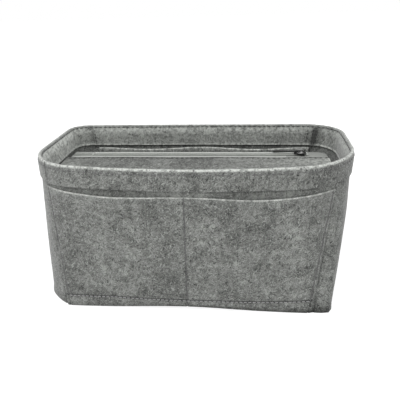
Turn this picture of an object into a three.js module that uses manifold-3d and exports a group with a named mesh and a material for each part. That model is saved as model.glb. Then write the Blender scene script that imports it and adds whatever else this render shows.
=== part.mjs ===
// Purse organizer insert: a grey felt tub with a folded collar round its rim, slip pockets outside and
// inside, a divider, and a zipped felt lid. Millimetres, +Z up, the front towards -Y, +X to the right.
import * as THREE from "three";
import { mergeVertices } from "three/addons/utils/BufferGeometryUtils.js";
import Module from "manifold-3d";

const wasm = await Module();
wasm.setup();

// Tub, on the outer face of the wall felt. Y is 0 at the middle of the rim's rectangle
const RIM_HEIGHT = 136.5;
const RIM_LENGTH = 296;
const RIM_DEPTH = 136;
const RIM_FRONT_LEFT_RADIUS = 42;
const RIM_FRONT_RIGHT_RADIUS = 50;
const RIM_BACK_LEFT_RADIUS = 19;
const RIM_BACK_RIGHT_RADIUS = 30;
const RIM_FRONT_BOW = 20;
const RIM_BACK_BOW = 1;
const RIM_SEAM_X = 125;
const ROUND_FULLNESS = 0.5523;
const BASE_LENGTH = 273.5;
const BASE_DEPTH = 151;
const BASE_FRONT_LEFT_RADIUS_X = 26;
const BASE_FRONT_LEFT_RADIUS_Y = 27;
const BASE_FRONT_LEFT_FULLNESS = 0.25;
const BASE_FRONT_RIGHT_RADIUS_X = 11;
const BASE_FRONT_RIGHT_RADIUS_Y = 21;
const BASE_BACK_RADIUS = 33;
const BASE_SEAM_LEFT_X = 111;
const BASE_SEAM_RIGHT_X = 114;
const BASE_SHIFT_X = -4.8;
const BASE_SHIFT_Y = -11;
const RIGHT_BELLY = 6;

// Felt thicknesses, and the room between sewn layers
const WALL_FELT = 2.4;
const BASE_FELT = 3;
const COLLAR_FELT = 1.8;
const POCKET_FELT = 2;
const LID_FELT = 2.4;
const DIVIDER_FELT = 2.4;
const GAP = 0.3;

// Collar, folded over the rim
const COLLAR_OUTSIDE = 19.5;
const COLLAR_INSIDE = 23;
const FOLD_RISE = 1.6;

// Slip pockets
const FRONT_POCKET_DROP = 25.5;
const FRONT_POCKET_BULGE = 7.5;
const INNER_POCKET_DROP = 25;
const INNER_POCKET_BULGE = 8;
const INNER_POCKET_INSET = 4;
const INNER_POCKET_FOOT = 18;
const INNER_POCKET_ROOM = 0.7;

// Lid and divider
const HEM_DEPTH = 19;
const LID_CLEARANCE = 0.8;
const LID_RIGHT_GAP = 9;
const LID_CORNER_RADIUS = 3;
const DIVIDER_CORNER_RADIUS = 15;
const DIVIDER_CLEARANCE = 0.6;

// Zip
const ZIP_FROM_BACK = 30.3;
const TAPE_THICKNESS = 0.7;
const TAPE_CLEARANCE = 1;
const FRONT_TAPE_WIDTH = 20;
const FRONT_TAPE_SHOWN = 16;
const REAR_TAPE_WIDTH = 10.3;
const TAPE_END_SHORT = 19.3;
const TAPE_END_LONG = 22;
const TAPE_CORNER_RADIUS = 11;
const CHAIN_GAP = 1.2;
const COIL_WIDTH = 2.6;
const COIL_HEIGHT = 1.3;
const COIL_TAIL_INSET = 1.5;
const STOP_LENGTH = 2.5;
const STOP_CORNER_RADIUS = 0.6;

// Slider and pull tab
const SLIDER_LENGTH = 12.4;
const SLIDER_WIDTH = 9.5;
const SLIDER_NOSE_WIDTH = 7;
const SLIDER_PLATE = 1;
const SLIDER_CLEARANCE = 0.4;
const SLIDER_FLANGE = 0.7;
const SLIDER_FLANGE_LENGTH = 4.1;
const SLIDER_CORNER = 2.4;
const SLIDER_ROOM = 0.6;
const WELD = 0.4;
const POST_WIDTH = 0.6;
const POST_LENGTH = 4;
const BRIDGE_HALF_LENGTH = 3.4;
const BRIDGE_BAR = 0.8;
const BRIDGE_WIDTH = 1.2;
const BRIDGE_OPENING = 1.9;
const PULL_LENGTH = 30;
const PULL_THICKNESS = 1;
const PULL_WIDTH = 5;
const PULL_EYE_LENGTH = 4.6;
const PULL_EYE_WIDTH = 3.6;
const PULL_WAIST_WIDTH = 3;
const PULL_SWING = THREE.MathUtils.degToRad(15);
const PULL_DROOP = THREE.MathUtils.degToRad(4);
const PULL_ROOM = 14;

// Smoothness of the curved pieces
const OUTLINE_STEPS = 360;
const PANEL_STEPS = 20;
const END_STEPS = 32;
const FOLD_STEPS = 6;
const POCKET_ROWS = 4;
const LID_EDGE_STEPS = 10;
const DIVIDER_ROWS = 6;
const ARC_STEPS = 6;
const TANGENT_STEP = 0.004;
const HALVINGS = 40;

// Plan of the tub at one height, anticlockwise from the middle of the front
class Outline {
  constructor({ length, depth, centre, frontLeft, frontRight, backRight, backLeft, frontBow, backBow, seamLeft, seamRight }) {
    const right = length / 2;
    const back = depth / 2;
    const path = new THREE.Path();
    path.moveTo(0, -back);
    const corners = [
      { corner: new THREE.Vector2(right, -back), radii: frontRight, endOn: "x" },
      { corner: new THREE.Vector2(right, back), radii: backRight, endOn: "y" },
      { corner: new THREE.Vector2(-right, back), radii: backLeft, endOn: "x" },
      { corner: new THREE.Vector2(-right, -back), radii: frontLeft, endOn: "y" },
    ];
    for (const { corner, radii, endOn } of corners) {
      const [radiusX, radiusY, fullness = ROUND_FULLNESS] = radii;
      const onLong = new THREE.Vector2(corner.x - Math.sign(corner.x) * radiusX, corner.y);
      const onShort = new THREE.Vector2(corner.x, corner.y - Math.sign(corner.y) * radiusY);
      const [from, to] = endOn === "x" ? [onLong, onShort] : [onShort, onLong];
      const first = from.clone().lerp(corner, fullness);
      const second = to.clone().lerp(corner, fullness);
      path.lineTo(from.x, from.y);
      path.bezierCurveTo(first.x, first.y, second.x, second.y, to.x, to.y);
    }
    path.lineTo(0, -back);
    this.points = path.getSpacedPoints(OUTLINE_STEPS).map((point) => {
      const bow = point.y < 0 ? frontBow : backBow;
      const share = (1 - (point.x / right) ** 2) * (point.y / back);
      return new THREE.Vector2(point.x, point.y + bow * share).add(centre);
    });
    this.lengths = [0];
    for (let i = 1; i < this.points.length; i++) {
      this.lengths.push(this.lengths[i - 1] + this.points[i].distanceTo(this.points[i - 1]));
    }
    this.total = this.lengths.at(-1);
    const seams = {
      frontRight: this.crossing(centre.x + seamRight, centre.y, -1),
      backRight: this.crossing(centre.x + seamRight, centre.y, 1),
      backLeft: this.crossing(centre.x - seamLeft, centre.y, 1),
      frontLeft: this.crossing(centre.x - seamLeft, centre.y, -1),
    };
    this.sides = {
      front: [seams.frontLeft - this.total, seams.frontRight],
      right: [seams.frontRight, seams.backRight],
      back: [seams.backRight, seams.backLeft],
      left: [seams.backLeft, seams.frontLeft],
    };
  }

  // Length along the plan where it crosses a seam, on the front half (-1) or the back half (1)
  crossing(x, centreY, half) {
    for (let i = 1; i < this.points.length; i++) {
      const a = this.points[i - 1];
      const b = this.points[i];
      const crosses = (a.x - x) * (b.x - x) <= 0 && a.x !== b.x;
      if (crosses && (a.y - centreY) * half > 0) {
        return THREE.MathUtils.mapLinear(x, a.x, b.x, this.lengths[i - 1], this.lengths[i]);
      }
    }
    throw new Error("the plan has no seam at this place");
  }

  at(side, u) {
    const [start, end] = this.sides[side];
    const along = THREE.MathUtils.euclideanModulo(start + u * (end - start), this.total);
    let i = 1;
    while (this.lengths[i] < along) i++;
    const share = (along - this.lengths[i - 1]) / (this.lengths[i] - this.lengths[i - 1]);
    return this.points[i - 1].clone().lerp(this.points[i], share);
  }
}

const rimOutline = new Outline({
  length: RIM_LENGTH,
  depth: RIM_DEPTH,
  centre: new THREE.Vector2(0, 0),
  frontLeft: [RIM_FRONT_LEFT_RADIUS, RIM_FRONT_LEFT_RADIUS],
  frontRight: [RIM_FRONT_RIGHT_RADIUS, RIM_FRONT_RIGHT_RADIUS],
  backRight: [RIM_BACK_RIGHT_RADIUS, RIM_BACK_RIGHT_RADIUS],
  backLeft: [RIM_BACK_LEFT_RADIUS, RIM_BACK_LEFT_RADIUS],
  frontBow: RIM_FRONT_BOW,
  backBow: RIM_BACK_BOW,
  seamLeft: RIM_SEAM_X,
  seamRight: RIM_SEAM_X,
});

const baseOutline = new Outline({
  length: BASE_LENGTH,
  depth: BASE_DEPTH,
  centre: new THREE.Vector2(BASE_SHIFT_X, BASE_SHIFT_Y),
  frontLeft: [BASE_FRONT_LEFT_RADIUS_X, BASE_FRONT_LEFT_RADIUS_Y, BASE_FRONT_LEFT_FULLNESS],
  frontRight: [BASE_FRONT_RIGHT_RADIUS_X, BASE_FRONT_RIGHT_RADIUS_Y],
  backRight: [BASE_BACK_RADIUS, BASE_BACK_RADIUS],
  backLeft: [BASE_BACK_RADIUS, BASE_BACK_RADIUS],
  frontBow: 0,
  backBow: 0,
  seamLeft: BASE_SEAM_LEFT_X,
  seamRight: BASE_SEAM_RIGHT_X,
});

// A point on the wall: u runs along one side, offset is measured outwards from the felt's outer face
function levelPoint(side, u, z) {
  return baseOutline.at(side, u).lerp(rimOutline.at(side, u), z / RIM_HEIGHT);
}

// The right end wall bellies out between its seams, the rim and the floor
function belly(side, u, z) {
  if (side !== "right") return 0;
  const share = z / RIM_HEIGHT;
  return RIGHT_BELLY * 4 * share * (1 - share) * Math.max(0, Math.sin(Math.PI * u));
}

function wallPoint(side, u, z, offset) {
  const here = levelPoint(side, u, z);
  const along = levelPoint(side, u + TANGENT_STEP, z).sub(levelPoint(side, u - TANGENT_STEP, z)).normalize();
  const out = offset + belly(side, u, z);
  return new THREE.Vector3(here.x + along.y * out, here.y - along.x * out, z);
}

// Where along an end wall a given Y lies, by halving
function endWallAt(side, y, z, offset) {
  let near = side === "right" ? 0 : 1;
  let far = 1 - near;
  for (let step = 0; step < HALVINGS; step++) {
    const middle = (near + far) / 2;
    if (wallPoint(side, middle, z, offset).y < y) near = middle;
    else far = middle;
  }
  return near;
}

function endWallX(side, y, z, offset) {
  return wallPoint(side, endWallAt(side, y, z, offset), z, offset).x;
}

// Closed mesh from points and triangles, turned so that its faces point out
function closedGeometry(points, triangles) {
  let volume = 0;
  for (const [a, b, c] of triangles) {
    volume += points[a].dot(points[b].clone().cross(points[c])) / 6;
  }
  const index = triangles.flatMap(([a, b, c]) => (volume > 0 ? [a, b, c] : [a, c, b]));
  const geometry = new THREE.BufferGeometry().setFromPoints(points);
  geometry.setIndex(index);
  geometry.computeVertexNormals();
  return geometry;
}

// A felt strip that follows one side of the tub: sectionAt(u) gives its section as [offset, z] pairs
function feltStrip(side, steps, sectionAt, inset = GAP / 2) {
  const sideLength = rimOutline.sides[side][1] - rimOutline.sides[side][0];
  const trim = inset / sideLength;
  const points = [];
  const triangles = [];
  const count = sectionAt(0).length;
  for (let i = 0; i <= steps; i++) {
    const u = THREE.MathUtils.lerp(trim, 1 - trim, i / steps);
    for (const [offset, z] of sectionAt(u)) points.push(wallPoint(side, u, z, offset));
  }
  // Every face is split along the diagonal that climbs, so that layered strips have parallel facets
  for (let i = 0; i < steps; i++) {
    for (let k = 0; k < count; k++) {
      const ends = [i * count + k, i * count + ((k + 1) % count)];
      const [low, high] = ends.sort((a, b) => points[a].z - points[b].z);
      triangles.push([low, high, high + count], [low, high + count, low + count]);
    }
  }
  const flat = sectionAt(0.5).map(([offset, z]) => new THREE.Vector2(offset, z));
  const last = steps * count;
  for (const [a, b, c] of THREE.ShapeUtils.triangulateShape(flat, [])) {
    triangles.push([a, b, c], [a + last, b + last, c + last]);
  }
  return closedGeometry(points, orient(triangles));
}

// Gives every triangle of a closed mesh the winding of its neighbours
function orient(triangles) {
  const byEdge = new Map();
  triangles.forEach((triangle, t) => {
    for (let k = 0; k < 3; k++) {
      const edge = [triangle[k], triangle[(k + 1) % 3]].sort((a, b) => a - b).join(" ");
      byEdge.set(edge, [...(byEdge.get(edge) ?? []), t]);
    }
  });
  const seen = new Set([0]);
  const queue = [0];
  while (queue.length) {
    const t = queue.pop();
    for (let k = 0; k < 3; k++) {
      const a = triangles[t][k];
      const b = triangles[t][(k + 1) % 3];
      for (const other of byEdge.get([a, b].sort((p, q) => p - q).join(" "))) {
        if (seen.has(other)) continue;
        const from = triangles[other].indexOf(a);
        if (triangles[other][(from + 1) % 3] === b) triangles[other].reverse();
        seen.add(other);
        queue.push(other);
      }
    }
  }
  return triangles;
}

// Flat plate of a plan outline between two heights
function plate(outline, bottom, thickness) {
  const shape = outline instanceof THREE.Shape ? outline : new THREE.Shape(outline);
  const options = { depth: thickness, bevelEnabled: false, curveSegments: ARC_STEPS };
  return new THREE.ExtrudeGeometry(shape, options).translate(0, 0, bottom);
}

// Flat plate whose edge leans with the walls, from its lower and upper outlines
function leaningPlate(lower, upper) {
  const count = lower.length;
  const triangles = [];
  for (let i = 0; i < count; i++) {
    const next = (i + 1) % count;
    triangles.push([i, next, next + count], [i, next + count, i + count]);
  }
  const flat = lower.map((point) => new THREE.Vector2(point.x, point.y));
  for (const [a, b, c] of THREE.ShapeUtils.triangulateShape(flat, [])) {
    triangles.push([a, b, c], [a + count, b + count, c + count]);
  }
  return closedGeometry([...lower, ...upper], orient(triangles));
}

// Bar along X with its section drawn in Y and Z
function barAlongX(section, start, end) {
  const shape = new THREE.Shape(section.map(([y, z]) => new THREE.Vector2(y, z)));
  const options = { depth: end - start, bevelEnabled: false };
  const turn = new THREE.Matrix4().set(0, 0, 1, start, 1, 0, 0, 0, 0, 1, 0, 0, 0, 0, 0, 1);
  return new THREE.ExtrudeGeometry(shape, options).applyMatrix4(turn);
}

function roundedRectangle(x0, y0, x1, y1, radius) {
  const shape = new THREE.Shape();
  shape.moveTo(x0 + radius, y0);
  shape.lineTo(x1 - radius, y0);
  shape.absarc(x1 - radius, y0 + radius, radius, -Math.PI / 2, 0);
  shape.lineTo(x1, y1 - radius);
  shape.absarc(x1 - radius, y1 - radius, radius, 0, Math.PI / 2);
  shape.lineTo(x0 + radius, y1);
  shape.absarc(x0 + radius, y1 - radius, radius, Math.PI / 2, Math.PI);
  shape.lineTo(x0, y0 + radius);
  shape.absarc(x0 + radius, y0 + radius, radius, Math.PI, 1.5 * Math.PI);
  return shape;
}

// Joins overlapping closed geometries into one body
function join(geometries) {
  const solids = geometries.map((source) => {
    const bare = source.clone();
    bare.deleteAttribute("normal");
    bare.deleteAttribute("uv");
    const merged = mergeVertices(bare);
    const vertProperties = new Float32Array(merged.attributes.position.array);
    const triVerts = new Uint32Array(merged.index.array);
    return new wasm.Manifold(new wasm.Mesh({ numProp: 3, vertProperties, triVerts }));
  });
  const whole = solids.reduce((sum, solid) => sum.add(solid)).getMesh();
  const geometry = new THREE.BufferGeometry();
  geometry.setAttribute("position", new THREE.BufferAttribute(whole.vertProperties, 3));
  geometry.setIndex(new THREE.BufferAttribute(whole.triVerts, 1));
  geometry.computeVertexNormals();
  return geometry;
}

const feltGrey = new THREE.MeshStandardMaterial({ color: 0x7a7c7a, roughness: 0.95, metalness: 0 });
const tapeGrey = new THREE.MeshStandardMaterial({ color: 0xa9aaa8, roughness: 0.9, metalness: 0 });
const coilGrey = new THREE.MeshStandardMaterial({ color: 0x9a9b99, roughness: 0.5, metalness: 0 });
const darkMetal = new THREE.MeshStandardMaterial({ color: 0x2b2b2c, roughness: 0.35, metalness: 0.9 });

const insert = new THREE.Group();

function addPiece(name, geometry, material) {
  const mesh = new THREE.Mesh(geometry, material);
  mesh.name = name;
  insert.add(mesh);
  return mesh;
}

// Tub walls: front and back panels, and end gussets that take in the corners
const wallTop = RIM_HEIGHT - COLLAR_FELT - GAP;
const sideSteps = { front: PANEL_STEPS, right: END_STEPS, back: PANEL_STEPS, left: END_STEPS };
const wallNames = { front: "front_wall", back: "back_wall", left: "left_end_wall", right: "right_end_wall" };

// The wall has a row of points at each height where another layer starts or ends
const frontPocketTop = RIM_HEIGHT - FRONT_POCKET_DROP;
const pocketRows = Array.from({ length: POCKET_ROWS + 1 }, (_, k) => (frontPocketTop * k) / POCKET_ROWS);
const collarRows = [RIM_HEIGHT - COLLAR_INSIDE, RIM_HEIGHT - COLLAR_OUTSIDE, wallTop];
const wallRows = [...pocketRows, ...collarRows].sort((a, b) => a - b);

function wallSection() {
  const inner = wallRows.map((z) => [-WALL_FELT, z]);
  const outer = wallRows.map((z) => [0, z]);
  return [...outer, ...inner.reverse()];
}

for (const [side, name] of Object.entries(wallNames)) {
  addPiece(name, feltStrip(side, sideSteps[side], wallSection), feltGrey);
}

// Base panel inside the walls' foot
function basePlan(z) {
  return Object.entries(sideSteps).flatMap(([side, steps]) =>
    Array.from({ length: steps }, (_, i) => wallPoint(side, i / steps, z, -WALL_FELT - GAP)),
  );
}
addPiece("base_panel", leaningPlate(basePlan(0), basePlan(BASE_FELT)), feltGrey);

// Collar strips: an inverted U over the top of the walls
const collarOut = GAP + COLLAR_FELT;
const collarIn = -WALL_FELT - GAP - COLLAR_FELT;

function collarSection() {
  const middle = (collarOut + collarIn) / 2;
  const reach = (collarOut - collarIn) / 2;
  const fold = [];
  for (let k = 0; k <= FOLD_STEPS; k++) {
    const angle = (Math.PI * k) / FOLD_STEPS;
    const rise = FOLD_RISE * (Math.sin(angle) - 1);
    fold.push([middle + reach * Math.cos(angle), RIM_HEIGHT + rise]);
  }
  const underFold = RIM_HEIGHT - COLLAR_FELT;
  return [
    [collarOut, RIM_HEIGHT - COLLAR_OUTSIDE],
    ...fold,
    [collarIn, RIM_HEIGHT - COLLAR_INSIDE],
    [collarIn + COLLAR_FELT, RIM_HEIGHT - COLLAR_INSIDE],
    [collarIn + COLLAR_FELT, underFold],
    [GAP, underFold],
    [GAP, RIM_HEIGHT - COLLAR_OUTSIDE],
  ];
}

for (const side of Object.keys(wallNames)) {
  addPiece(`collar_${side}`, feltStrip(side, sideSteps[side], collarSection), feltGrey);
}

// Slip pocket sheets: sewn down at both sides, the foot and the middle, slack at the two mouths
function pocketSection({ foot, top, bulge, near, far }) {
  return (u) => {
    const slack = (z) => bulge * ((z - foot) / (top - foot)) ** 2 * Math.sin(2 * Math.PI * u) ** 2;
    const rows = Array.from({ length: POCKET_ROWS + 1 }, (_, k) => foot + ((top - foot) * k) / POCKET_ROWS);
    const outwards = Math.sign(far);
    const inner = rows.map((z) => [near + outwards * slack(z), z]);
    const outer = rows.map((z) => [far + outwards * slack(z), z]);
    return [...inner, ...outer.reverse()];
  };
}

const frontPocket = pocketSection({
  foot: 0,
  top: frontPocketTop,
  bulge: FRONT_POCKET_BULGE,
  near: GAP,
  far: GAP + POCKET_FELT,
});
addPiece("front_pocket", feltStrip("front", PANEL_STEPS, frontPocket), feltGrey);

const innerPocket = pocketSection({
  foot: INNER_POCKET_FOOT,
  top: RIM_HEIGHT - INNER_POCKET_DROP,
  bulge: INNER_POCKET_BULGE,
  near: -WALL_FELT - INNER_POCKET_ROOM,
  far: -WALL_FELT - INNER_POCKET_ROOM - POCKET_FELT,
});
addPiece("inner_back_pocket", feltStrip("back", PANEL_STEPS, innerPocket, INNER_POCKET_INSET), feltGrey);

// Lid level, just under the facing's lower edge, and the straight line where the lid bends up
const lidTop = RIM_HEIGHT - COLLAR_INSIDE - GAP;
const lidBottom = lidTop - LID_FELT;
const hingeY = -RIM_DEPTH / 2 + HEM_DEPTH;
const zipY = RIM_DEPTH / 2 - ZIP_FROM_BACK;
const lidRear = zipY - FRONT_TAPE_SHOWN;

// Lid hem: the stretch of the lid's felt between the bowed front wall and the bend
function hemPlan(z) {
  const offset = -WALL_FELT - GAP;
  const rear = hingeY - GAP / 2;
  const follow = (side, from, to, steps) =>
    Array.from({ length: steps + 1 }, (_, i) => {
      return wallPoint(side, THREE.MathUtils.lerp(from, to, i / steps), z, offset);
    });
  return [
    ...follow("left", endWallAt("left", rear, z, offset), 1 - TANGENT_STEP, ARC_STEPS),
    ...follow("front", TANGENT_STEP, 1 - TANGENT_STEP, PANEL_STEPS),
    ...follow("right", TANGENT_STEP, endWallAt("right", rear, z, offset), ARC_STEPS),
  ];
}
addPiece("lid_hem", leaningPlate(hemPlan(lidBottom), hemPlan(lidTop)), feltGrey);

// Zip lid: as wide as it can be and still swing up inside the collar, at every height up to the rim
function lidReach(side, y) {
  const fromHinge = y - hingeY;
  const reaches = Array.from({ length: LID_EDGE_STEPS + 1 }, (_, i) => {
    const rise = Math.min(fromHinge, (i / LID_EDGE_STEPS) * COLLAR_INSIDE);
    const swungY = hingeY + Math.sqrt(fromHinge ** 2 - rise ** 2);
    return endWallX(side, swungY, lidTop + rise, collarIn - LID_CLEARANCE);
  });
  return side === "left" ? Math.max(...reaches) : Math.min(...reaches);
}

const lidRight = endWallX("right", lidRear, lidTop, collarIn) - LID_RIGHT_GAP;
const lidLeft = lidReach("left", lidRear);

function lidPlan() {
  const front = hingeY + GAP / 2;
  const shape = new THREE.Shape();
  shape.moveTo(Math.min(lidRight, lidReach("right", front)), front);
  for (let i = 1; i <= LID_EDGE_STEPS; i++) {
    const y = THREE.MathUtils.lerp(front, lidRear - LID_CORNER_RADIUS, i / LID_EDGE_STEPS);
    shape.lineTo(Math.min(lidRight, lidReach("right", y)), y);
  }
  shape.absarc(lidRight - LID_CORNER_RADIUS, lidRear - LID_CORNER_RADIUS, LID_CORNER_RADIUS, 0, Math.PI / 2);
  for (let i = LID_EDGE_STEPS; i >= 0; i--) {
    const y = THREE.MathUtils.lerp(front, lidRear, i / LID_EDGE_STEPS);
    shape.lineTo(lidReach("left", y), y);
  }
  return shape;
}
addPiece("zip_lid", plate(lidPlan(), lidBottom, LID_FELT), feltGrey);

// Zip, from left to right: joined tape, bottom stop, chain, slider at rest, top stops, joined tape
const tapeTop = lidBottom - GAP;
const tapeBottom = tapeTop - TAPE_THICKNESS;
const frontTapeRear = zipY - CHAIN_GAP / 2;
const frontTapeFront = frontTapeRear - FRONT_TAPE_WIDTH;
const rearTapeFront = zipY + CHAIN_GAP / 2;
const rearTapeRear = rearTapeFront + REAR_TAPE_WIDTH;
const cornerX = endWallX("left", rearTapeRear, tapeBottom, -WALL_FELT - TAPE_CLEARANCE);
const tapeLeft = Math.max(lidLeft, cornerX);
const topStopLeft = lidRight - TAPE_END_SHORT - STOP_LENGTH;
const bottomStopRight = tapeLeft + TAPE_END_LONG + STOP_LENGTH;
const chainLeft = bottomStopRight + GAP;
const chainRight = topStopLeft - GAP;
const sliderX = chainRight - SLIDER_LENGTH / 2;
const sliderFarX = chainLeft + SLIDER_LENGTH / 2;
const lidChainLeft = sliderFarX + SLIDER_LENGTH / 2 + SLIDER_ROOM;
const lidChainRight = sliderX - PULL_ROOM;

function planOf(pairs) {
  return pairs.map(([x, y]) => new THREE.Vector2(x, y));
}

function tapeStrip(x0, y0, x1, y1) {
  return plate(planOf([[x0, y0], [x1, y0], [x1, y1], [x0, y1]]), tapeBottom, TAPE_THICKNESS);
}

const rearTapeLeft = tapeLeft + TAPE_END_LONG;
const rearTapeRight = lidRight - TAPE_END_SHORT;
addPiece("zip_tape_front", tapeStrip(lidChainLeft, frontTapeFront, lidChainRight, frontTapeRear), tapeGrey);
addPiece("zip_tape_rear", tapeStrip(rearTapeLeft, rearTapeFront, rearTapeRight, rearTapeRear), tapeGrey);

// Joined tape ends: the front tape's last stretch, turned across to the rear edge. The right one lines up with
// the lid's right edge and is rounded at its rear corner
function endRightPlan() {
  const shape = new THREE.Shape();
  shape.moveTo(lidChainRight + GAP, frontTapeFront);
  shape.lineTo(lidRight, frontTapeFront);
  shape.lineTo(lidRight, rearTapeRear - TAPE_CORNER_RADIUS);
  const arcX = lidRight - TAPE_CORNER_RADIUS;
  shape.absarc(arcX, rearTapeRear - TAPE_CORNER_RADIUS, TAPE_CORNER_RADIUS, 0, Math.PI / 2);
  shape.lineTo(rearTapeRight + GAP, rearTapeRear);
  shape.lineTo(rearTapeRight + GAP, frontTapeRear);
  shape.lineTo(lidChainRight + GAP, frontTapeRear);
  return shape;
}
addPiece("zip_end_right", plate(endRightPlan(), tapeBottom, TAPE_THICKNESS), tapeGrey);

const endLeftPlan = planOf([
  [tapeLeft, frontTapeFront],
  [lidChainLeft - GAP, frontTapeFront],
  [lidChainLeft - GAP, frontTapeRear],
  [rearTapeLeft - GAP, frontTapeRear],
  [rearTapeLeft - GAP, rearTapeRear],
  [tapeLeft, rearTapeRear],
]);
addPiece("zip_end_left", plate(endLeftPlan, tapeBottom, TAPE_THICKNESS), tapeGrey);

// Coils: half-round ridges on the facing edges of the tapes
function coil(half, start, end) {
  const seat = tapeTop + GAP;
  const section = [];
  for (let k = 0; k <= ARC_STEPS; k++) {
    const angle = (Math.PI * k) / ARC_STEPS;
    const y = zipY + half * (CHAIN_GAP / 2 + (COIL_WIDTH / 2) * (1 - Math.cos(angle)));
    section.push([y, seat + COIL_HEIGHT * Math.sin(angle)]);
  }
  return barAlongX(section, start, end);
}
addPiece("zip_coil_front", coil(-1, lidChainLeft, lidChainRight), coilGrey);
addPiece("zip_coil_rear", coil(1, chainLeft, chainRight), coilGrey);
addPiece("zip_coil_stub_left", coil(-1, chainLeft, lidChainLeft - GAP), coilGrey);
addPiece("zip_coil_stub_right", coil(-1, lidChainRight + GAP, chainRight), coilGrey);

// Past the bottom stop the coils run on over the joined tape, into the seam at its left end
const tailLeft = tapeLeft + COIL_TAIL_INSET;
const tailRight = bottomStopRight - STOP_LENGTH - GAP;
addPiece("zip_coil_tail_front", coil(-1, tailLeft, tailRight), coilGrey);
addPiece("zip_coil_tail_rear", coil(1, tailLeft, tailRight), coilGrey);

// Stops that keep the slider on the chain
function stop(y0, y1, x0) {
  return plate(roundedRectangle(x0, y0, x0 + STOP_LENGTH, y1, STOP_CORNER_RADIUS), tapeTop + GAP, COIL_HEIGHT);
}
const coilReach = CHAIN_GAP / 2 + COIL_WIDTH;
addPiece("top_stop_front", stop(zipY - coilReach, zipY - CHAIN_GAP / 2, topStopLeft), coilGrey);
addPiece("top_stop_rear", stop(zipY + CHAIN_GAP / 2, zipY + coilReach, topStopLeft), coilGrey);
addPiece("bottom_stop", stop(zipY - coilReach, zipY + coilReach, bottomStopRight - STOP_LENGTH), coilGrey);

// Slider body: two plates joined by a post between the tapes, with side flanges and a bridge on top
const upperBottom = tapeTop + GAP + COIL_HEIGHT + SLIDER_CLEARANCE;
const upperTop = upperBottom + SLIDER_PLATE;
const lowerTop = tapeBottom - SLIDER_CLEARANCE;
const lowerBottom = lowerTop - SLIDER_PLATE;

function sliderPlan() {
  const half = SLIDER_LENGTH / 2;
  const side = SLIDER_WIDTH / 2;
  const corner = SLIDER_CORNER;
  const shape = new THREE.Shape();
  shape.moveTo(sliderX - half, zipY - SLIDER_NOSE_WIDTH / 2);
  shape.lineTo(sliderX, zipY - side);
  shape.lineTo(sliderX + half - corner, zipY - side);
  shape.quadraticCurveTo(sliderX + half, zipY - side, sliderX + half, zipY - side + corner);
  shape.lineTo(sliderX + half, zipY + side - corner);
  shape.quadraticCurveTo(sliderX + half, zipY + side, sliderX + half - corner, zipY + side);
  shape.lineTo(sliderX, zipY + side);
  shape.lineTo(sliderX - half, zipY + SLIDER_NOSE_WIDTH / 2);
  return shape;
}

function blockBetween(x0, y0, z0, x1, y1, z1) {
  return plate(planOf([[x0, y0], [x1, y0], [x1, y1], [x0, y1]]), z0, z1 - z0);
}

function sliderFlange(side) {
  const outer = zipY + (side * SLIDER_WIDTH) / 2;
  const inner = outer - side * SLIDER_FLANGE;
  const low = Math.min(inner, outer);
  const high = Math.max(inner, outer);
  const foot = tapeTop + SLIDER_CLEARANCE;
  return blockBetween(sliderX, low, foot, sliderX + SLIDER_FLANGE_LENGTH, high, upperBottom + WELD);
}

function bridge() {
  const outside = BRIDGE_HALF_LENGTH;
  const inside = outside - BRIDGE_BAR;
  const top = BRIDGE_OPENING + BRIDGE_BAR;
  const shape = new THREE.Shape();
  shape.moveTo(-outside, -WELD);
  shape.lineTo(-inside, -WELD);
  shape.lineTo(-inside, BRIDGE_OPENING);
  shape.lineTo(inside, BRIDGE_OPENING);
  shape.lineTo(inside, -WELD);
  shape.lineTo(outside, -WELD);
  shape.lineTo(outside, top - BRIDGE_BAR);
  shape.quadraticCurveTo(outside, top, inside, top);
  shape.lineTo(-inside, top);
  shape.quadraticCurveTo(-outside, top, -outside, top - BRIDGE_BAR);
  const options = { depth: BRIDGE_WIDTH, bevelEnabled: false, curveSegments: ARC_STEPS };
  const arch = new THREE.ExtrudeGeometry(shape, options).rotateX(Math.PI / 2);
  return arch.translate(sliderX, zipY + BRIDGE_WIDTH / 2, upperTop);
}

const postRight = sliderX + SLIDER_LENGTH / 2 - SLIDER_PLATE;
const post = blockBetween(
  postRight - POST_LENGTH,
  zipY - POST_WIDTH / 2,
  lowerTop - WELD,
  postRight,
  zipY + POST_WIDTH / 2,
  upperBottom + WELD,
);
const sliderPieces = [
  plate(sliderPlan(), upperBottom, SLIDER_PLATE),
  plate(sliderPlan(), lowerBottom, SLIDER_PLATE),
  post,
  sliderFlange(-1),
  sliderFlange(1),
  bridge(),
];
addPiece("slider_body", join(sliderPieces), darkMetal);

// Pull tab: a plate with an eye round the bridge. It lies to the left, swung a little to the rear, tip down
const pullAxisZ = upperTop + BRIDGE_OPENING / 2;

function pullShape() {
  const bar = PULL_THICKNESS / 2;
  const half = PULL_WIDTH / 2;
  const waist = PULL_WAIST_WIDTH / 2;
  const end = PULL_LENGTH - bar;
  const shape = new THREE.Shape();
  shape.moveTo(-bar, -half);
  shape.lineTo(bar + PULL_EYE_LENGTH, -half);
  shape.lineTo(bar + 2 * PULL_EYE_LENGTH, -waist);
  shape.lineTo(end - half, -half);
  shape.absarc(end - half, 0, half, -Math.PI / 2, Math.PI / 2);
  shape.lineTo(bar + 2 * PULL_EYE_LENGTH, waist);
  shape.lineTo(bar + PULL_EYE_LENGTH, half);
  shape.lineTo(-bar, half);
  const eye = planOf([
    [bar, -PULL_EYE_WIDTH / 2],
    [bar + PULL_EYE_LENGTH, -PULL_EYE_WIDTH / 2],
    [bar + PULL_EYE_LENGTH, PULL_EYE_WIDTH / 2],
    [bar, PULL_EYE_WIDTH / 2],
  ]);
  shape.holes.push(new THREE.Path(eye));
  return shape;
}
const pull = addPiece("pull_tab", plate(pullShape(), -PULL_THICKNESS / 2, PULL_THICKNESS), darkMetal);
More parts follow.
